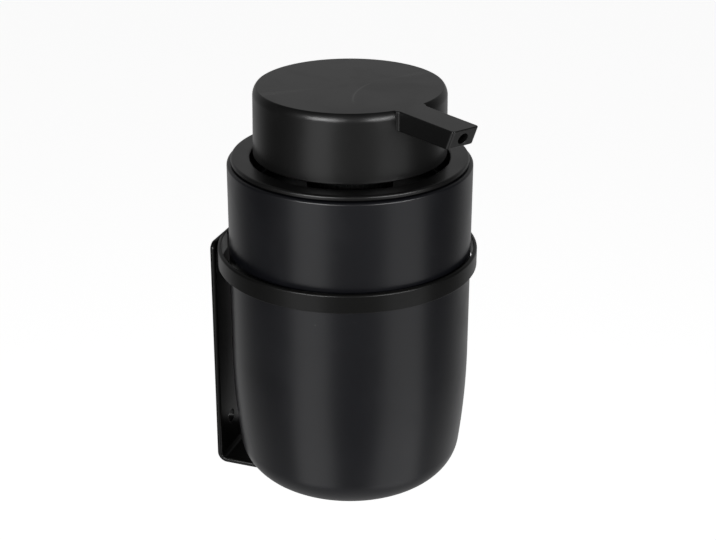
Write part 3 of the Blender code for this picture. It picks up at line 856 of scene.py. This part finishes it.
@dataclass
class Tumbler:
    """The container: straight above, drawn in below, with a round heel and a flat base."""

    radius: float = 0.0425
    height: float = 0.11865
    wall: float = 0.0030
    floor: float = 0.0032
    rim_edge: float = 0.0009
    lip_edge: float = 0.0005
    belly_radius: float = 0.281
    belly_steps: tuple[int, int] = (10, 14)
    heel_radius: float = 0.01385
    heel_steps: tuple[int, int] = (14, 20)
    belly_degrees: float = 7.3

    def build(self, shell: Material) -> None:
        """Make and dress the container.

        Args:
            shell: The satin black finish.
        """
        slope = math.radians(self.belly_degrees)
        belly_x = self.radius - self.belly_radius
        foot = belly_x + (self.belly_radius - self.heel_radius) * math.cos(slope)
        heel_z = self.heel_radius - self.height
        belly_z = heel_z + (self.belly_radius - self.heel_radius) * math.sin(slope)
        inner_heel = self.heel_radius - self.wall
        floor_z = self.floor - self.height
        rise = math.asin((heel_z - floor_z) / inner_heel)
        pen = Outline(0.0, floor_z).to(foot + inner_heel * math.cos(rise), floor_z)
        pen.sweep(foot, heel_z, self.belly_degrees - math.degrees(rise), self.heel_steps[0])
        pen.sweep(belly_x, belly_z, -self.belly_degrees, self.belly_steps[0])
        pen.to(self.radius - self.wall, 0.0, self.lip_edge).to(self.radius, 0.0, self.rim_edge)
        pen.to(self.radius, belly_z)
        pen.sweep(belly_x, belly_z, self.belly_degrees, self.belly_steps[1])
        pen.sweep(foot, heel_z, 90.0 - self.belly_degrees, self.heel_steps[1]).to(0.0, -self.height)
        dress("tumbler", pen.turned(TURNED_LARGE), "container", Body.CONTAINER, shell)


@dataclass
class Closure:
    """The lid with its well and neck, its seal, and the collar and gasket that hold the pump."""

    radius: float = 0.0411
    top: float = 0.0019
    edge: float = 0.0008
    well_radius: float = 0.0344
    well_edge: float = 0.0008
    well_floor: float = -0.0100
    well_outer: float = 0.0360
    well_under_edge: float = 0.0012
    floor: float = 0.0022
    roof: float = 0.0003
    skirt_radius: float = 0.0392
    skirt_wall: float = 0.0024
    skirt_bottom: float = -0.0080
    seal_height: float = -0.0042
    seal_section: float = 0.0015
    seal_steps: int = 24
    neck_radius: float = 0.0120
    neck_bore: float = 0.0098
    neck_top: float = -0.0060
    collar_radius: float = 0.0150
    collar_top: float = 0.0006
    collar_inner: float = -0.0014
    collar_hole: float = 0.0073
    collar_edge: float = 0.0006
    grip_depth: float = 0.00035
    grip_inset: float = 0.00012
    gasket_bottom: float = -0.0057
    gasket_top: float = -0.0049
    gasket_radius: float = 0.0116

    def build(self, shell: Material, collar: Material, rubber: Material) -> None:
        """Make and dress the lid, its seal, the collar and the gasket.

        Args:
            shell: The lid's satin black.
            collar: The collar's black.
            rubber: The seals' rubber.
        """
        gasket = ring((self.neck_bore, FAINT, self.gasket_bottom, 0.0),
                      (self.gasket_radius, FAINT, self.gasket_top, FAINT))
        dress("lid_shell", self._lid(), "lid", Body.LID, shell)
        dress("lid_ring_seal", self._seal(), "lid_seal", Body.LID, rubber)
        dress("clamp_collar", self._collar(), "pump_collar", Body.LID, collar)
        dress("flat_gasket", gasket, "collar_gasket", Body.LID, rubber)

    def _lid(self) -> Mesh:
        """Return the lid's turned solid."""
        half = self.seal_section / 2 + GAP
        under = self.well_floor - self.floor
        return ring((self.well_radius, self.well_edge, self.top, self.well_edge),
                    (self.radius, self.edge, GAP, FINE),
                    (self.skirt_radius, FINE, self.seal_height + half, FINE),
                    (self.skirt_radius - self.seal_section, FINE, self.seal_height - half, FINE),
                    (self.skirt_radius, FINE, self.skirt_bottom, FULL),
                    (self.skirt_radius - self.skirt_wall, FULL, self.roof - GAP, SOFT),
                    (self.well_outer, PLAIN, under, self.well_under_edge),
                    (self.neck_bore, PLAIN, self.neck_top, FINE),
                    (self.neck_radius, PLAIN, self.well_floor, FINE), steps=TURNED_LARGE)

    def _seal(self) -> Mesh:
        """Return the round seal in the skirt's groove."""
        radius = self.seal_section / 2
        middle = self.skirt_radius - radius + GAP / 2
        pen = Outline(middle + radius, self.seal_height)
        pen.sweep(middle, self.seal_height, 360.0 - 360.0 / self.seal_steps, self.seal_steps - 1)
        return pen.turned(TURNED_LARGE)

    def _collar(self) -> Mesh:
        """Return the clamp collar, whose side has upright grip grooves."""
        bore = self.neck_radius + GAP
        bottom = self.well_floor + GAP
        shape = ring((bore, PLAIN, bottom, PLAIN),
                     (self.collar_radius, SOFT, self.collar_top, self.collar_edge),
                     (self.collar_hole, PLAIN, self.collar_inner, FINE))
        middle = Vector((0.0, AXIS_Y, RIM_Z + (bottom + self.collar_top) / 2))
        places = {face: face.calc_center_median() - middle for face in shape.faces}
        sides = [face for face, place in places.items()
                 if abs(place.z) < (self.collar_top - bottom) / 3
                 and place.xy.length > self.collar_radius - SOFT]
        sides.sort(key=lambda face: math.atan2(places[face].y, places[face].x))
        bmesh.ops.inset_individual(shape, faces=sides[::2], thickness=self.grip_inset,
                                   depth=-self.grip_depth)
        return shape


@dataclass
class PumpBody:
    """The still pieces of the pump: housing, stem guide, wiper, ball cage, spring and dip tube."""

    stem_radius: float = 0.0036
    bore: float = 0.0070
    outer: float = 0.0084
    outer_edge: float = 0.0010
    flange_radius: float = 0.0116
    flange_bottom: float = -0.0046
    flange_top: float = -0.0032
    pocket_radius: float = 0.0030
    pocket_top: float = -0.0422
    pocket_bottom: float = -0.0470
    inlet_bore: float = 0.0015
    nipple_top: float = -0.0492
    nipple_end: float = -0.0577
    nipple_radius: float = 0.0046
    cone_end: float = -0.0496
    cone_edge: float = 0.0006
    guide_bottom: float = -0.0029
    guide_shoulder: float = -0.0017
    guide_top: float = 0.0025
    guide_end: float = -0.0120
    guide_flange: float = 0.0096
    wiper_height: float = 0.0020
    wiper_wall: float = 0.0012
    cage_top: float = -0.0403
    cage_bottom: float = -0.0419
    cage_hole: float = 0.0014
    spring_top: float = -0.0222
    spring_bottom: float = -0.0400
    spring_radius: float = 0.0050
    spring_wire: float = 0.00045
    spring_stroke: float = 0.0080
    end_turns: int = 1
    free_turns: int = 5
    wire_sides: int = 12
    coil_steps: int = 36
    dip_radius: float = 0.0025
    dip_bore: float = 0.0017
    dip_top: float = -0.0495
    dip_end: float = -0.11275

    def build(self, plastic: Material, rubber: Material, steel: Material) -> None:
        """Make and dress the pump's still pieces.

        Args:
            plastic: The natural plastic.
            rubber: The wiper's rubber.
            steel: The spring's steel.
        """
        outer = self.bore - GAP
        cage = ring((self.cage_hole, FINE, self.cage_bottom, FINE),
                    (outer, PLAIN, self.cage_top, PLAIN))
        tube = ring((self.dip_bore, FAINT, self.dip_end, FAINT),
                    (self.dip_radius, FINE, self.dip_top, FINE), steps=TURNED_SMALL)
        for name, shape, node, finish, slot in (
                ("pump_barrel", self._housing(), "pump_housing", plastic, "housing_plastic"),
                ("stem_bush", self._guide(), "stem_guide", plastic, "guide_plastic"),
                ("stem_wiper", self._wiper(), "guide_wiper", rubber, "wiper_rubber"),
                ("cage_ring", cage, "ball_cage", plastic, "cage_plastic"),
                ("suction_tube", tube, "dip_tube", plastic, "dip_plastic")):
            dress(name, shape, node, Body.LID, finish)
        spring = dress("coil_spring", self._spring(), "return_spring", Body.LID, steel)
        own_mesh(spring)

    def _housing(self) -> Mesh:
        """Return the cylinder with its flange, ball pocket and tube nipple."""
        return ring((self.bore, PLAIN, self.flange_top, PLAIN),
                    (self.flange_radius, PLAIN, self.flange_bottom, PLAIN),
                    (self.outer, PLAIN, self.pocket_top, self.outer_edge),
                    (self.nipple_radius, self.cone_edge, self.nipple_end, SOFT, self.cone_end),
                    (self.dip_radius + GAP, PLAIN, self.nipple_top, FAINT),
                    (self.inlet_bore, FAINT, self.pocket_bottom, FINE),
                    (self.pocket_radius, FINE, self.pocket_top, PLAIN))

    def _guide(self) -> Mesh:
        """Return the bush that closes the housing round the stem."""
        bore = self.stem_radius + GAP
        return ring((bore, FINE, self.guide_top - self.wiper_height - GAP, FINE),
                    (bore + self.wiper_wall + GAP, FAINT, self.guide_top, FINE),
                    (self.bore, PLAIN, self.guide_shoulder, FINE),
                    (self.guide_flange, FINE, self.guide_bottom, FINE),
                    (self.bore - GAP, FAINT, self.guide_end, PLAIN))

    def _wiper(self) -> Mesh:
        """Return the soft ring in the guide's top."""
        bore = self.stem_radius + GAP
        return ring((bore, PLAIN, self.guide_top - self.wiper_height, FINE),
                    (bore + self.wiper_wall, FINE, self.guide_top, SOFT))

    def _spring(self) -> Mesh:
        """Return the coil, a wire section swung round the axis, close wound at both ends."""
        shape = bmesh.new()
        bmesh.ops.create_circle(shape, cap_ends=False, segments=self.wire_sides,
                                radius=self.spring_wire)
        place = Matrix.Translation((self.spring_radius, 0.0, self.spring_bottom + self.spring_wire))
        placed(shape, place @ Matrix.Rotation(QUARTER, 4, "X"))
        section = shape.verts[:] + shape.edges[:]
        close = 2 * self.spring_wire + GAP / 2
        rise = (self.spring_top - self.spring_bottom - 2 * self.spring_wire
                - 2 * self.end_turns * close)
        for turns, climb in ((self.end_turns, close), (self.free_turns, rise / self.free_turns),
                             (self.end_turns, close)):
            swung = bmesh.ops.spin(shape, geom=section, cent=(0.0, 0.0, 0.0), axis=(0.0, 0.0, 1.0),
                                   dvec=(0.0, 0.0, climb / self.coil_steps), angle=math.tau * turns,
                                   steps=self.coil_steps * turns, use_merge=False)
            section = swung["geom_last"]
        return moved(faced_out(shape, fill=True), 0.0, AXIS_Y, RIM_Z)


@dataclass
class Plunger:
    """The moving stem of the pump with its piston seal and tip."""

    radius: float = 0.0036
    bore: float = 0.0013
    valve_bore: float = 0.0021
    stop_radius: float = 0.0054
    stop_top: float = -0.0123
    stop_bottom: float = -0.0135
    top: float = 0.0159
    bottom: float = -0.0201
    valve_top: float = -0.0092
    housing_bore: float = 0.0070
    seal_top: float = -0.0138
    seal_bottom: float = -0.0198
    seal_waist: float = 0.0007
    seal_lip: float = 0.0014
    tip_top: float = -0.0204
    tip_bottom: float = -0.0219
    tip_plug_top: float = -0.0141
    tip_bore: float = 0.0009

    def build(self, plastic: Material, rubber: Material) -> None:
        """Make and dress the stem, the piston seal and the tip.

        Args:
            plastic: The natural plastic.
            rubber: The piston's rubber.
        """
        for name, shape, node, finish, slot in (
                ("pump_stem", self._stem(), "plunger_stem", plastic, "stem_plastic"),
                ("piston_sleeve", self._seal(), "piston_seal", rubber, "piston_rubber"),
                ("stem_tip", self._tip(), "piston_tip", plastic, "tip_plastic")):
            dress(name, shape, node, Body.PLUNGER, finish)

    def _stem(self) -> Mesh:
        """Return the hollow stem with its stop flange."""
        return ring((self.bore, FAINT, self.valve_top, FAINT),
                    (self.valve_bore, FAINT, self.bottom, FAINT),
                    (self.radius, FINE, self.stop_bottom, FAINT),
                    (self.stop_radius, FINE, self.stop_top, FINE),
                    (self.radius, FAINT, self.top, PLAIN))

    def _seal(self) -> Mesh:
        """Return the sleeve with a lip at each end and a waist between."""
        outer = self.housing_bore - GAP
        slope = self.seal_lip + self.seal_waist
        return ring((self.radius + GAP, FINE, self.seal_bottom, FINE),
                    (outer, PLAIN, self.seal_bottom + self.seal_lip, PLAIN),
                    (outer - self.seal_waist, PLAIN, self.seal_top - slope, PLAIN,
                     self.seal_bottom + slope),
                    (outer, PLAIN, self.seal_top, PLAIN, self.seal_top - self.seal_lip))

    def _tip(self) -> Mesh:
        """Return the tip that plugs the stem and seats the outlet ball."""
        return ring((self.tip_bore, FAINT, self.tip_bottom, FINE),
                    (self.stop_radius, PLAIN, self.tip_top, FINE),
                    (self.valve_bore - GAP, FAINT, self.tip_plug_top, FAINT))


@dataclass
class ValveBall:
    """A steel valve ball on the rim of its seat, whose CAD node has its body's name."""

    body: Body
    radius: float
    name: str
    subdivisions: int = 4

    def build(self, steel: Material) -> None:
        """Make the ball where its CAD node lies, and dress it.

        Args:
            steel: The polished steel.
        """
        node = self.body.value
        low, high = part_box(node)
        shape = bmesh.new()
        bmesh.ops.create_icosphere(shape, subdivisions=self.subdivisions, radius=self.radius)
        dress(self.name, moved(shape, *(low + high) / 2), node, self.body, steel)


@dataclass
class PushHead:
    """The push cap with its spout, and the bush in its hub that takes the stem."""

    top: float = 0.02666
    radius: float = 0.0331
    draft: float = 0.0003
    shoulder_depth: float = 0.0012
    shoulder_radius: float = 0.0045
    shoulder_steps: int = 12
    top_edge: float = 0.0002
    bottom: float = 0.0029
    bottom_edge: float = 0.0004
    wall: float = 0.0020
    roof: float = 0.0024
    roof_edge: float = 0.0010
    hub_edge: float = 0.0006
    hub_radius: float = 0.0080
    hub_bore: float = 0.0056
    hub_bottom: float = 0.0125
    cavity_radius: float = 0.0026
    spout_reach: float = 0.0595
    root_width: float = 0.0110
    tip_width: float = 0.0109
    root_height: float = 0.0069
    tip_height: float = 0.0066
    setback: float = 0.0028
    spout_edge: float = 0.0005
    tip_corner: float = 0.0011
    root_fillet: float = 0.0011
    outlet_radius: float = 0.0019
    outlet_lip: float = 0.00012
    outlet_drop: float = 0.0035
    socket_top: float = 0.0185
    socket_bottom: float = 0.0110
    socket_flange: float = 0.0012
    stem_radius: float = 0.0036
    stem_bore: float = 0.0013
    stem_top: float = 0.0159

    def build(self, shell: Material, plastic: Material) -> None:
        """Make and dress the cap and the bush.

        Args:
            shell: The cap's satin black.
            plastic: The bush's natural plastic.
        """
        cap = carved(self._cap(), ((self._bar(), "UNION"), (self._outlet(), "DIFFERENCE"),
                                   (self._cavity(), "DIFFERENCE")))
        dress("cap_and_spout", cap, "push_cap", Body.HEAD, shell)
        dress("hub_bush", self._socket(), "stem_socket", Body.HEAD, plastic)

    def _to_row(self, shape: Mesh) -> Mesh:
        """Turn a shape that was made along +X to the spout's direction and lift it to the rim."""
        place = Matrix.Translation((0.0, AXIS_Y, RIM_Z)) @ Matrix.Rotation(SPOUT_AZIMUTH, 4, "Z")
        return placed(shape, place)

    def _cap(self) -> Mesh:
        """Return the round cap with its hollow and its hub."""
        low_radius = self.radius + self.draft
        roof = self.top - self.roof
        turn = math.acos(1.0 - self.shoulder_depth / self.shoulder_radius)
        pen = Outline(0.0, self.top).to(self.radius - self.shoulder_depth, self.top, self.top_edge)
        pen.sweep(self.radius - self.shoulder_radius,
                  self.top - self.shoulder_radius * math.sin(turn), math.degrees(turn),
                  self.shoulder_steps)
        for corner in ((low_radius, self.bottom, self.bottom_edge),
                       (low_radius - self.wall, self.bottom, self.bottom_edge),
                       (self.radius - self.wall, roof, self.roof_edge),
                       (self.hub_radius, roof, self.hub_edge),
                       (self.hub_radius, self.hub_bottom, PLAIN), (self.hub_bore, self.hub_bottom, FINE),
                       (self.hub_bore, self.socket_top + GAP, FAINT), (0.0, self.socket_top + GAP)):
            pen.to(*corner)
        return pen.turned(TURNED_LARGE)

    def _bar(self) -> Mesh:
        """Return the spout from the axis to its slanted end, filleted where it leaves the cap."""
        shape = self._spout_plan()
        pulled = bmesh.ops.extrude_face_region(shape, geom=shape.faces[:])
        low = set(new_verts(pulled))
        for vert in shape.verts:
            along = (vert.co.x - self.radius) / (self.spout_reach - self.radius)
            drop = self.root_height + (self.tip_height - self.root_height) * along
            vert.co.z = self.top - (drop if vert in low else 0.0)
            if vert in low and along > 1.0 - MERGE_DISTANCE:
                vert.co.x -= self.setback
        far = self.spout_reach - self.setback - MERGE_DISTANCE
        split = self.top - self.tip_height / 2
        corners = [edge for edge in shape.edges
                   if crosses(edge, split) and min(vert.co.x for vert in edge.verts) > far]
        rounded(shape, corners, self.tip_corner, ROUNDING_STEPS)
        rims = [edge for edge in shape.edges if not crosses(edge, split)
                and max(vert.co.x for vert in edge.verts) > MERGE_DISTANCE]
        rounded(shape, rims, self.spout_edge, EDGE_STEPS)
        return self._to_row(faced_out(shape))

    def _spout_plan(self) -> Mesh:
        """Return the spout's flat outline from above, along +X, as one face."""
        shape = bmesh.new()
        wall = self.radius + self.draft / 2
        middle = self.root_width / 2 + self.root_fillet
        centre = math.sqrt((wall + self.root_fillet) ** 2 - middle ** 2)
        share = wall / (wall + self.root_fillet)
        chain = [shape.verts.new(place) for place in (
            (0.0, 0.0, 0.0), (0.0, middle * share, 0.0), (centre * share, middle * share, 0.0))]
        swung = bmesh.ops.spin(shape, geom=[chain[-1]], cent=(centre, middle, 0.0),
                               axis=(0.0, 0.0, 1.0), angle=QUARTER - math.atan2(middle, centre),
                               steps=ROUNDING_STEPS, use_merge=False)
        tip = [shape.verts.new(place) for place in (
            (self.spout_reach, self.tip_width / 2, 0.0), (self.spout_reach, 0.0, 0.0))]
        end = new_verts(swung, "geom_last")[0]
        for pair in ((chain[0], chain[1]), (chain[1], chain[2]), (end, tip[0]), (tip[0], tip[1])):
            shape.edges.new(pair)
        bmesh.ops.mirror(shape, geom=shape.verts[:] + shape.edges[:], matrix=Matrix.Identity(4),
                         merge_dist=MERGE_DISTANCE, axis="Y")
        bmesh.ops.contextual_create(shape, geom=shape.edges[:])
        bmesh.ops.dissolve_verts(shape, verts=[vert for vert in shape.verts
                                               if abs(vert.co.y) < MERGE_DISTANCE])
        return shape

    def _outlet(self) -> Mesh:
        """Return the cutter of the channel, which flares a little where it leaves the spout."""
        end = self.spout_reach - self.setback * self.outlet_drop / self.tip_height
        lip = self.outlet_radius + self.outlet_lip
        pen = Outline(0.0, 0.0).to(self.outlet_radius, 0.0)
        pen.to(self.outlet_radius, end - self.outlet_lip).to(lip, end).to(lip, end + self.setback)
        shape = pen.to(0.0, end + self.setback).turned(TURNED_SMALL)
        moved(shape, 0.0, -AXIS_Y, -RIM_Z)
        slant = Matrix.Identity(4)
        slant[2][0] = -self.setback / self.tip_height
        flare = [vert for vert in shape.verts if vert.co.z > self.radius]
        bmesh.ops.transform(shape, matrix=slant, verts=flare)
        lie = Matrix.Translation((0.0, 0.0, self.top - self.outlet_drop))
        return self._to_row(placed(shape, lie @ Matrix.Rotation(QUARTER, 4, "Y")))

    def _cavity(self) -> Mesh:
        """Return the cutter of the hollow over the stem that meets the channel."""
        high = self.top - self.outlet_drop + self.outlet_radius
        return self._to_row(rod(self.cavity_radius, self.socket_top - self.wall, high))

    def _socket(self) -> Mesh:
        """Return the bush in the hub."""
        return ring((self.stem_radius + GAP, FAINT, self.socket_bottom, PLAIN),
                    (self.hub_radius, PLAIN, self.socket_bottom + self.socket_flange, FINE),
                    (self.hub_bore - GAP, FAINT, self.socket_top, PLAIN),
                    (self.stem_bore, FAINT, self.stem_top + GAP, FAINT))


@dataclass(frozen=True)
class Softbox:
    """One soft area lamp, placed round the object by its direction from the middle."""

    name: str
    azimuth: float
    elevation: float
    distance: float
    width: float
    height: float
    radiance: float

    def light(self, middle: Vector, camera_turn: float) -> None:
        """Add the lamp and aim it at the middle.

        Args:
            middle: The object's middle.
            camera_turn: The camera's direction round the Z axis, from which azimuths count.
        """
        data = bpy.data.lights.new(self.name, "AREA")
        data.shape = "RECTANGLE"
        data.size = self.width
        data.size_y = self.height
        data.energy = self.radiance * math.pi * self.width * self.height
        lamp = bpy.data.objects.new(self.name, data)
        turn = camera_turn + math.radians(self.azimuth)
        lift = math.radians(self.elevation)
        away = Vector((math.cos(turn) * math.cos(lift), math.sin(turn) * math.cos(lift), math.sin(lift)))
        lamp.location = middle + away * self.distance
        lamp.rotation_euler = away.to_track_quat("Z", "Y").to_euler()
        bpy.context.scene.collection.objects.link(lamp)


@dataclass
class Studio:
    """The plain stage: a pale floor, soft lamps, an even surround and the photograph's camera.

    Angles are in degrees, and the glow is what makes the floor white where the camera sees it.
    """

    middle: Triple = (0.0, AXIS_Y, 0.03)
    camera_place: Triple = (-0.4808, -0.2222, 0.2589)
    camera_tilt: float = 66.33
    camera_turn: float = -70.0
    lens: float = 79.0
    sensor: float = 36.0
    shift: float = 0.0120
    floor_drop: float = 1.2
    floor_behind: float = 9.0
    floor_side: float = 2.6
    floor_cells: tuple[int, int] = (24, 12)
    floor_level: float = 0.80
    floor_roughness: float = 0.9
    floor_glow: float = 0.80
    floor_lift: float = 0.25
    mirrored_share: float = 0.4
    glow_near: float = 1.0
    glow_far: float = 1.7
    glow_angles: Span = (17.0, 100.0)
    back_span: Span = (-0.75, -0.30)
    back_level: float = 0.38
    side_level: float = 0.08
    front_span: Span = (0.0, 0.7)
    front_level: float = 0.35
    overhead_span: Span = (0.50, 0.75)
    overhead_level: float = 0.12
    softboxes: tuple[Softbox, ...] = (
        Softbox("left_softbox", -37.0, -32.0, 1.2, 0.66, 0.95, 1.5),
        Softbox("right_softbox", 53.0, -37.0, 1.2, 0.80, 0.95, 1.2),
        Softbox("upper_left_lamp", -30.0, 13.0, 1.2, 0.68, 0.34, 20.0),
        Softbox("upper_right_lamp", 40.0, 13.0, 1.2, 0.80, 0.34, 16.0),
    )

    def build(self) -> None:
        """Set the plain view, and add the camera, the floor, the world and the lamps."""
        bpy.context.scene.view_settings.view_transform = "Standard"
        facing = Vector((self.camera_place[0], self.camera_place[1] - AXIS_Y, 0.0)).normalized()
        turn = math.atan2(facing.y, facing.x)
        self._camera()
        self._floor(facing, turn)
        self._world(facing)
        for softbox in self.softboxes:
            softbox.light(Vector(self.middle), turn)

    def _camera(self) -> None:
        """Add the camera at the photograph's place."""
        data = bpy.data.cameras.new("camera")
        data.lens = self.lens
        data.sensor_width = self.sensor
        data.shift_x = self.shift
        camera = bpy.data.objects.new("camera", data)
        camera.location = self.camera_place
        camera.rotation_euler = (math.radians(self.camera_tilt), 0.0, math.radians(self.camera_turn))
        bpy.context.scene.collection.objects.link(camera)
        bpy.context.scene.camera = camera

    def _floor(self, facing: Vector, turn: float) -> None:
        """Add the pale floor well under the wall-hung object, longer behind it.

        Args:
            facing: The level direction from the object to the camera.
            turn: The angle of that direction round the Z axis.
        """
        shape = bmesh.new()
        bmesh.ops.create_grid(shape, x_segments=self.floor_cells[0], y_segments=self.floor_cells[1],
                              size=1.0)
        half = (self.floor_behind + self.floor_side) / 2
        bmesh.ops.scale(shape, vec=(half, self.floor_side, 1.0), verts=shape.verts[:])
        moved(shape, self.floor_side - half, 0.0, 0.0)
        place = Matrix.Translation((0.0, AXIS_Y, cad_box[0].z - self.floor_drop))
        floor = to_object("floor", placed(shape, place @ Matrix.Rotation(turn, 4, "Z")))
        floor.data.materials.append(self._floor_paint(facing))

    def _floor_paint(self, facing: Vector) -> Material:
        """Return the floor's pale paint, with a glow for the camera that is strongest behind the object.

        Args:
            facing: The level direction from the object to the camera.

        Returns:
            The new material.
        """
        canvas = Canvas("pale_floor", {"Base Color": grey(self.floor_level),
                                       "Roughness": self.floor_roughness})
        board, nodes = canvas.board, canvas.board.tree.nodes
        level = board.vectors("MULTIPLY", {0: canvas.place, 1: (1.0, 1.0, 0.0)})[0]
        way = board.vectors("NORMALIZE", {0: level})[0]
        ahead = board.vectors("DOT_PRODUCT", {0: way, 1: facing})["Value"]
        fade = (-math.cos(math.radians(angle)) for angle in self.glow_angles)
        behind = board.span(ahead, *fade, self.floor_glow, self.floor_lift)
        away = board.vectors("LENGTH", {0: level})["Value"]
        behind = board.times(behind, board.span(away, self.glow_near, self.glow_far))
        path = board.add("ShaderNodeLightPath").outputs
        mirrored = board.times(path["Is Glossy Ray"], self.mirrored_share)
        seen = board.maths("MAXIMUM", path["Is Camera Ray"], mirrored)
        seen = board.maths("MAXIMUM", seen, path["Is Transmission Ray"])
        glow = board.add("ShaderNodeEmission", {"Strength": board.times(behind, seen)})
        both = board.add("ShaderNodeAddShader", {0: nodes["Principled BSDF"].outputs[0],
                                                 1: glow.outputs[0]})
        board.feed(nodes["Material Output"].inputs["Surface"], both.outputs[0])
        return canvas.material

    def _world(self, facing: Vector) -> None:
        """Light the surround: pale behind the object, dim at its sides, ahead and overhead.

        Args:
            facing: The level direction from the object to the camera.
        """
        world = bpy.data.worlds.new("surround")
        world.use_nodes = True
        bpy.context.scene.world = world
        board = Board(world.node_tree)
        direction = board.add("ShaderNodeTexCoord").outputs["Generated"]
        toward = board.vectors("DOT_PRODUCT", {0: direction, 1: facing})["Value"]
        rise = board.add("ShaderNodeSeparateXYZ", {"Vector": direction}).outputs["Z"]
        level = board.span(toward, *self.back_span, self.back_level, self.side_level)
        level = board.span(toward, *self.front_span, level, self.front_level)
        level = board.span(rise, *self.overhead_span, level, self.overhead_level)
        board.feed(world.node_tree.nodes["Background"].inputs["Color"], level)


def main() -> None:
    """Build the stage and every sub-assembly in order."""
    logging.basicConfig(level=logging.INFO, format="%(name)s %(message)s")
    Studio().build()
    effects = Effects()
    cap = BlackShell("cap_satin_black", arc=ArcMark()).material(effects)
    lid = BlackShell("lid_satin_black").material(effects)
    tumbler = BlackShell("tumbler_satin_black", (0.0021, 0.0022, 0.0031)).material(effects)
    collar = BlackShell("collar_matt_black", (0.008, 0.008, 0.008), roughness=0.55).material(effects)
    coat = BlackShell("bracket_powder_coat", (0.0022, 0.0022, 0.0021), ior=1.24, grain_scale=1500.0,
                      grain_depth=0.000010).material(effects)
    plastic = NaturalPlastic().material(effects)
    rubber = SealRubber().material(effects)
    wire = BrightSteel().material(effects)
    ball = BrightSteel("polished_ball_steel", roughness=0.12, stretch=(1.0, 1.0, 1.0)).material(effects)

    WallBracket().build(coat)
    Tumbler().build(tumbler)
    Closure().build(lid, collar, rubber)
    PumpBody().build(plastic, rubber, wire)
    Plunger().build(plastic, rubber)
    ValveBall(Body.INLET_BALL, radius=0.0024, name="inlet_valve_ball").build(ball)
    ValveBall(Body.OUTLET_BALL, radius=0.0016, name="outlet_valve_ball").build(ball)
    PushHead().build(cap, plastic)


if __name__ == "__main__":
    main()
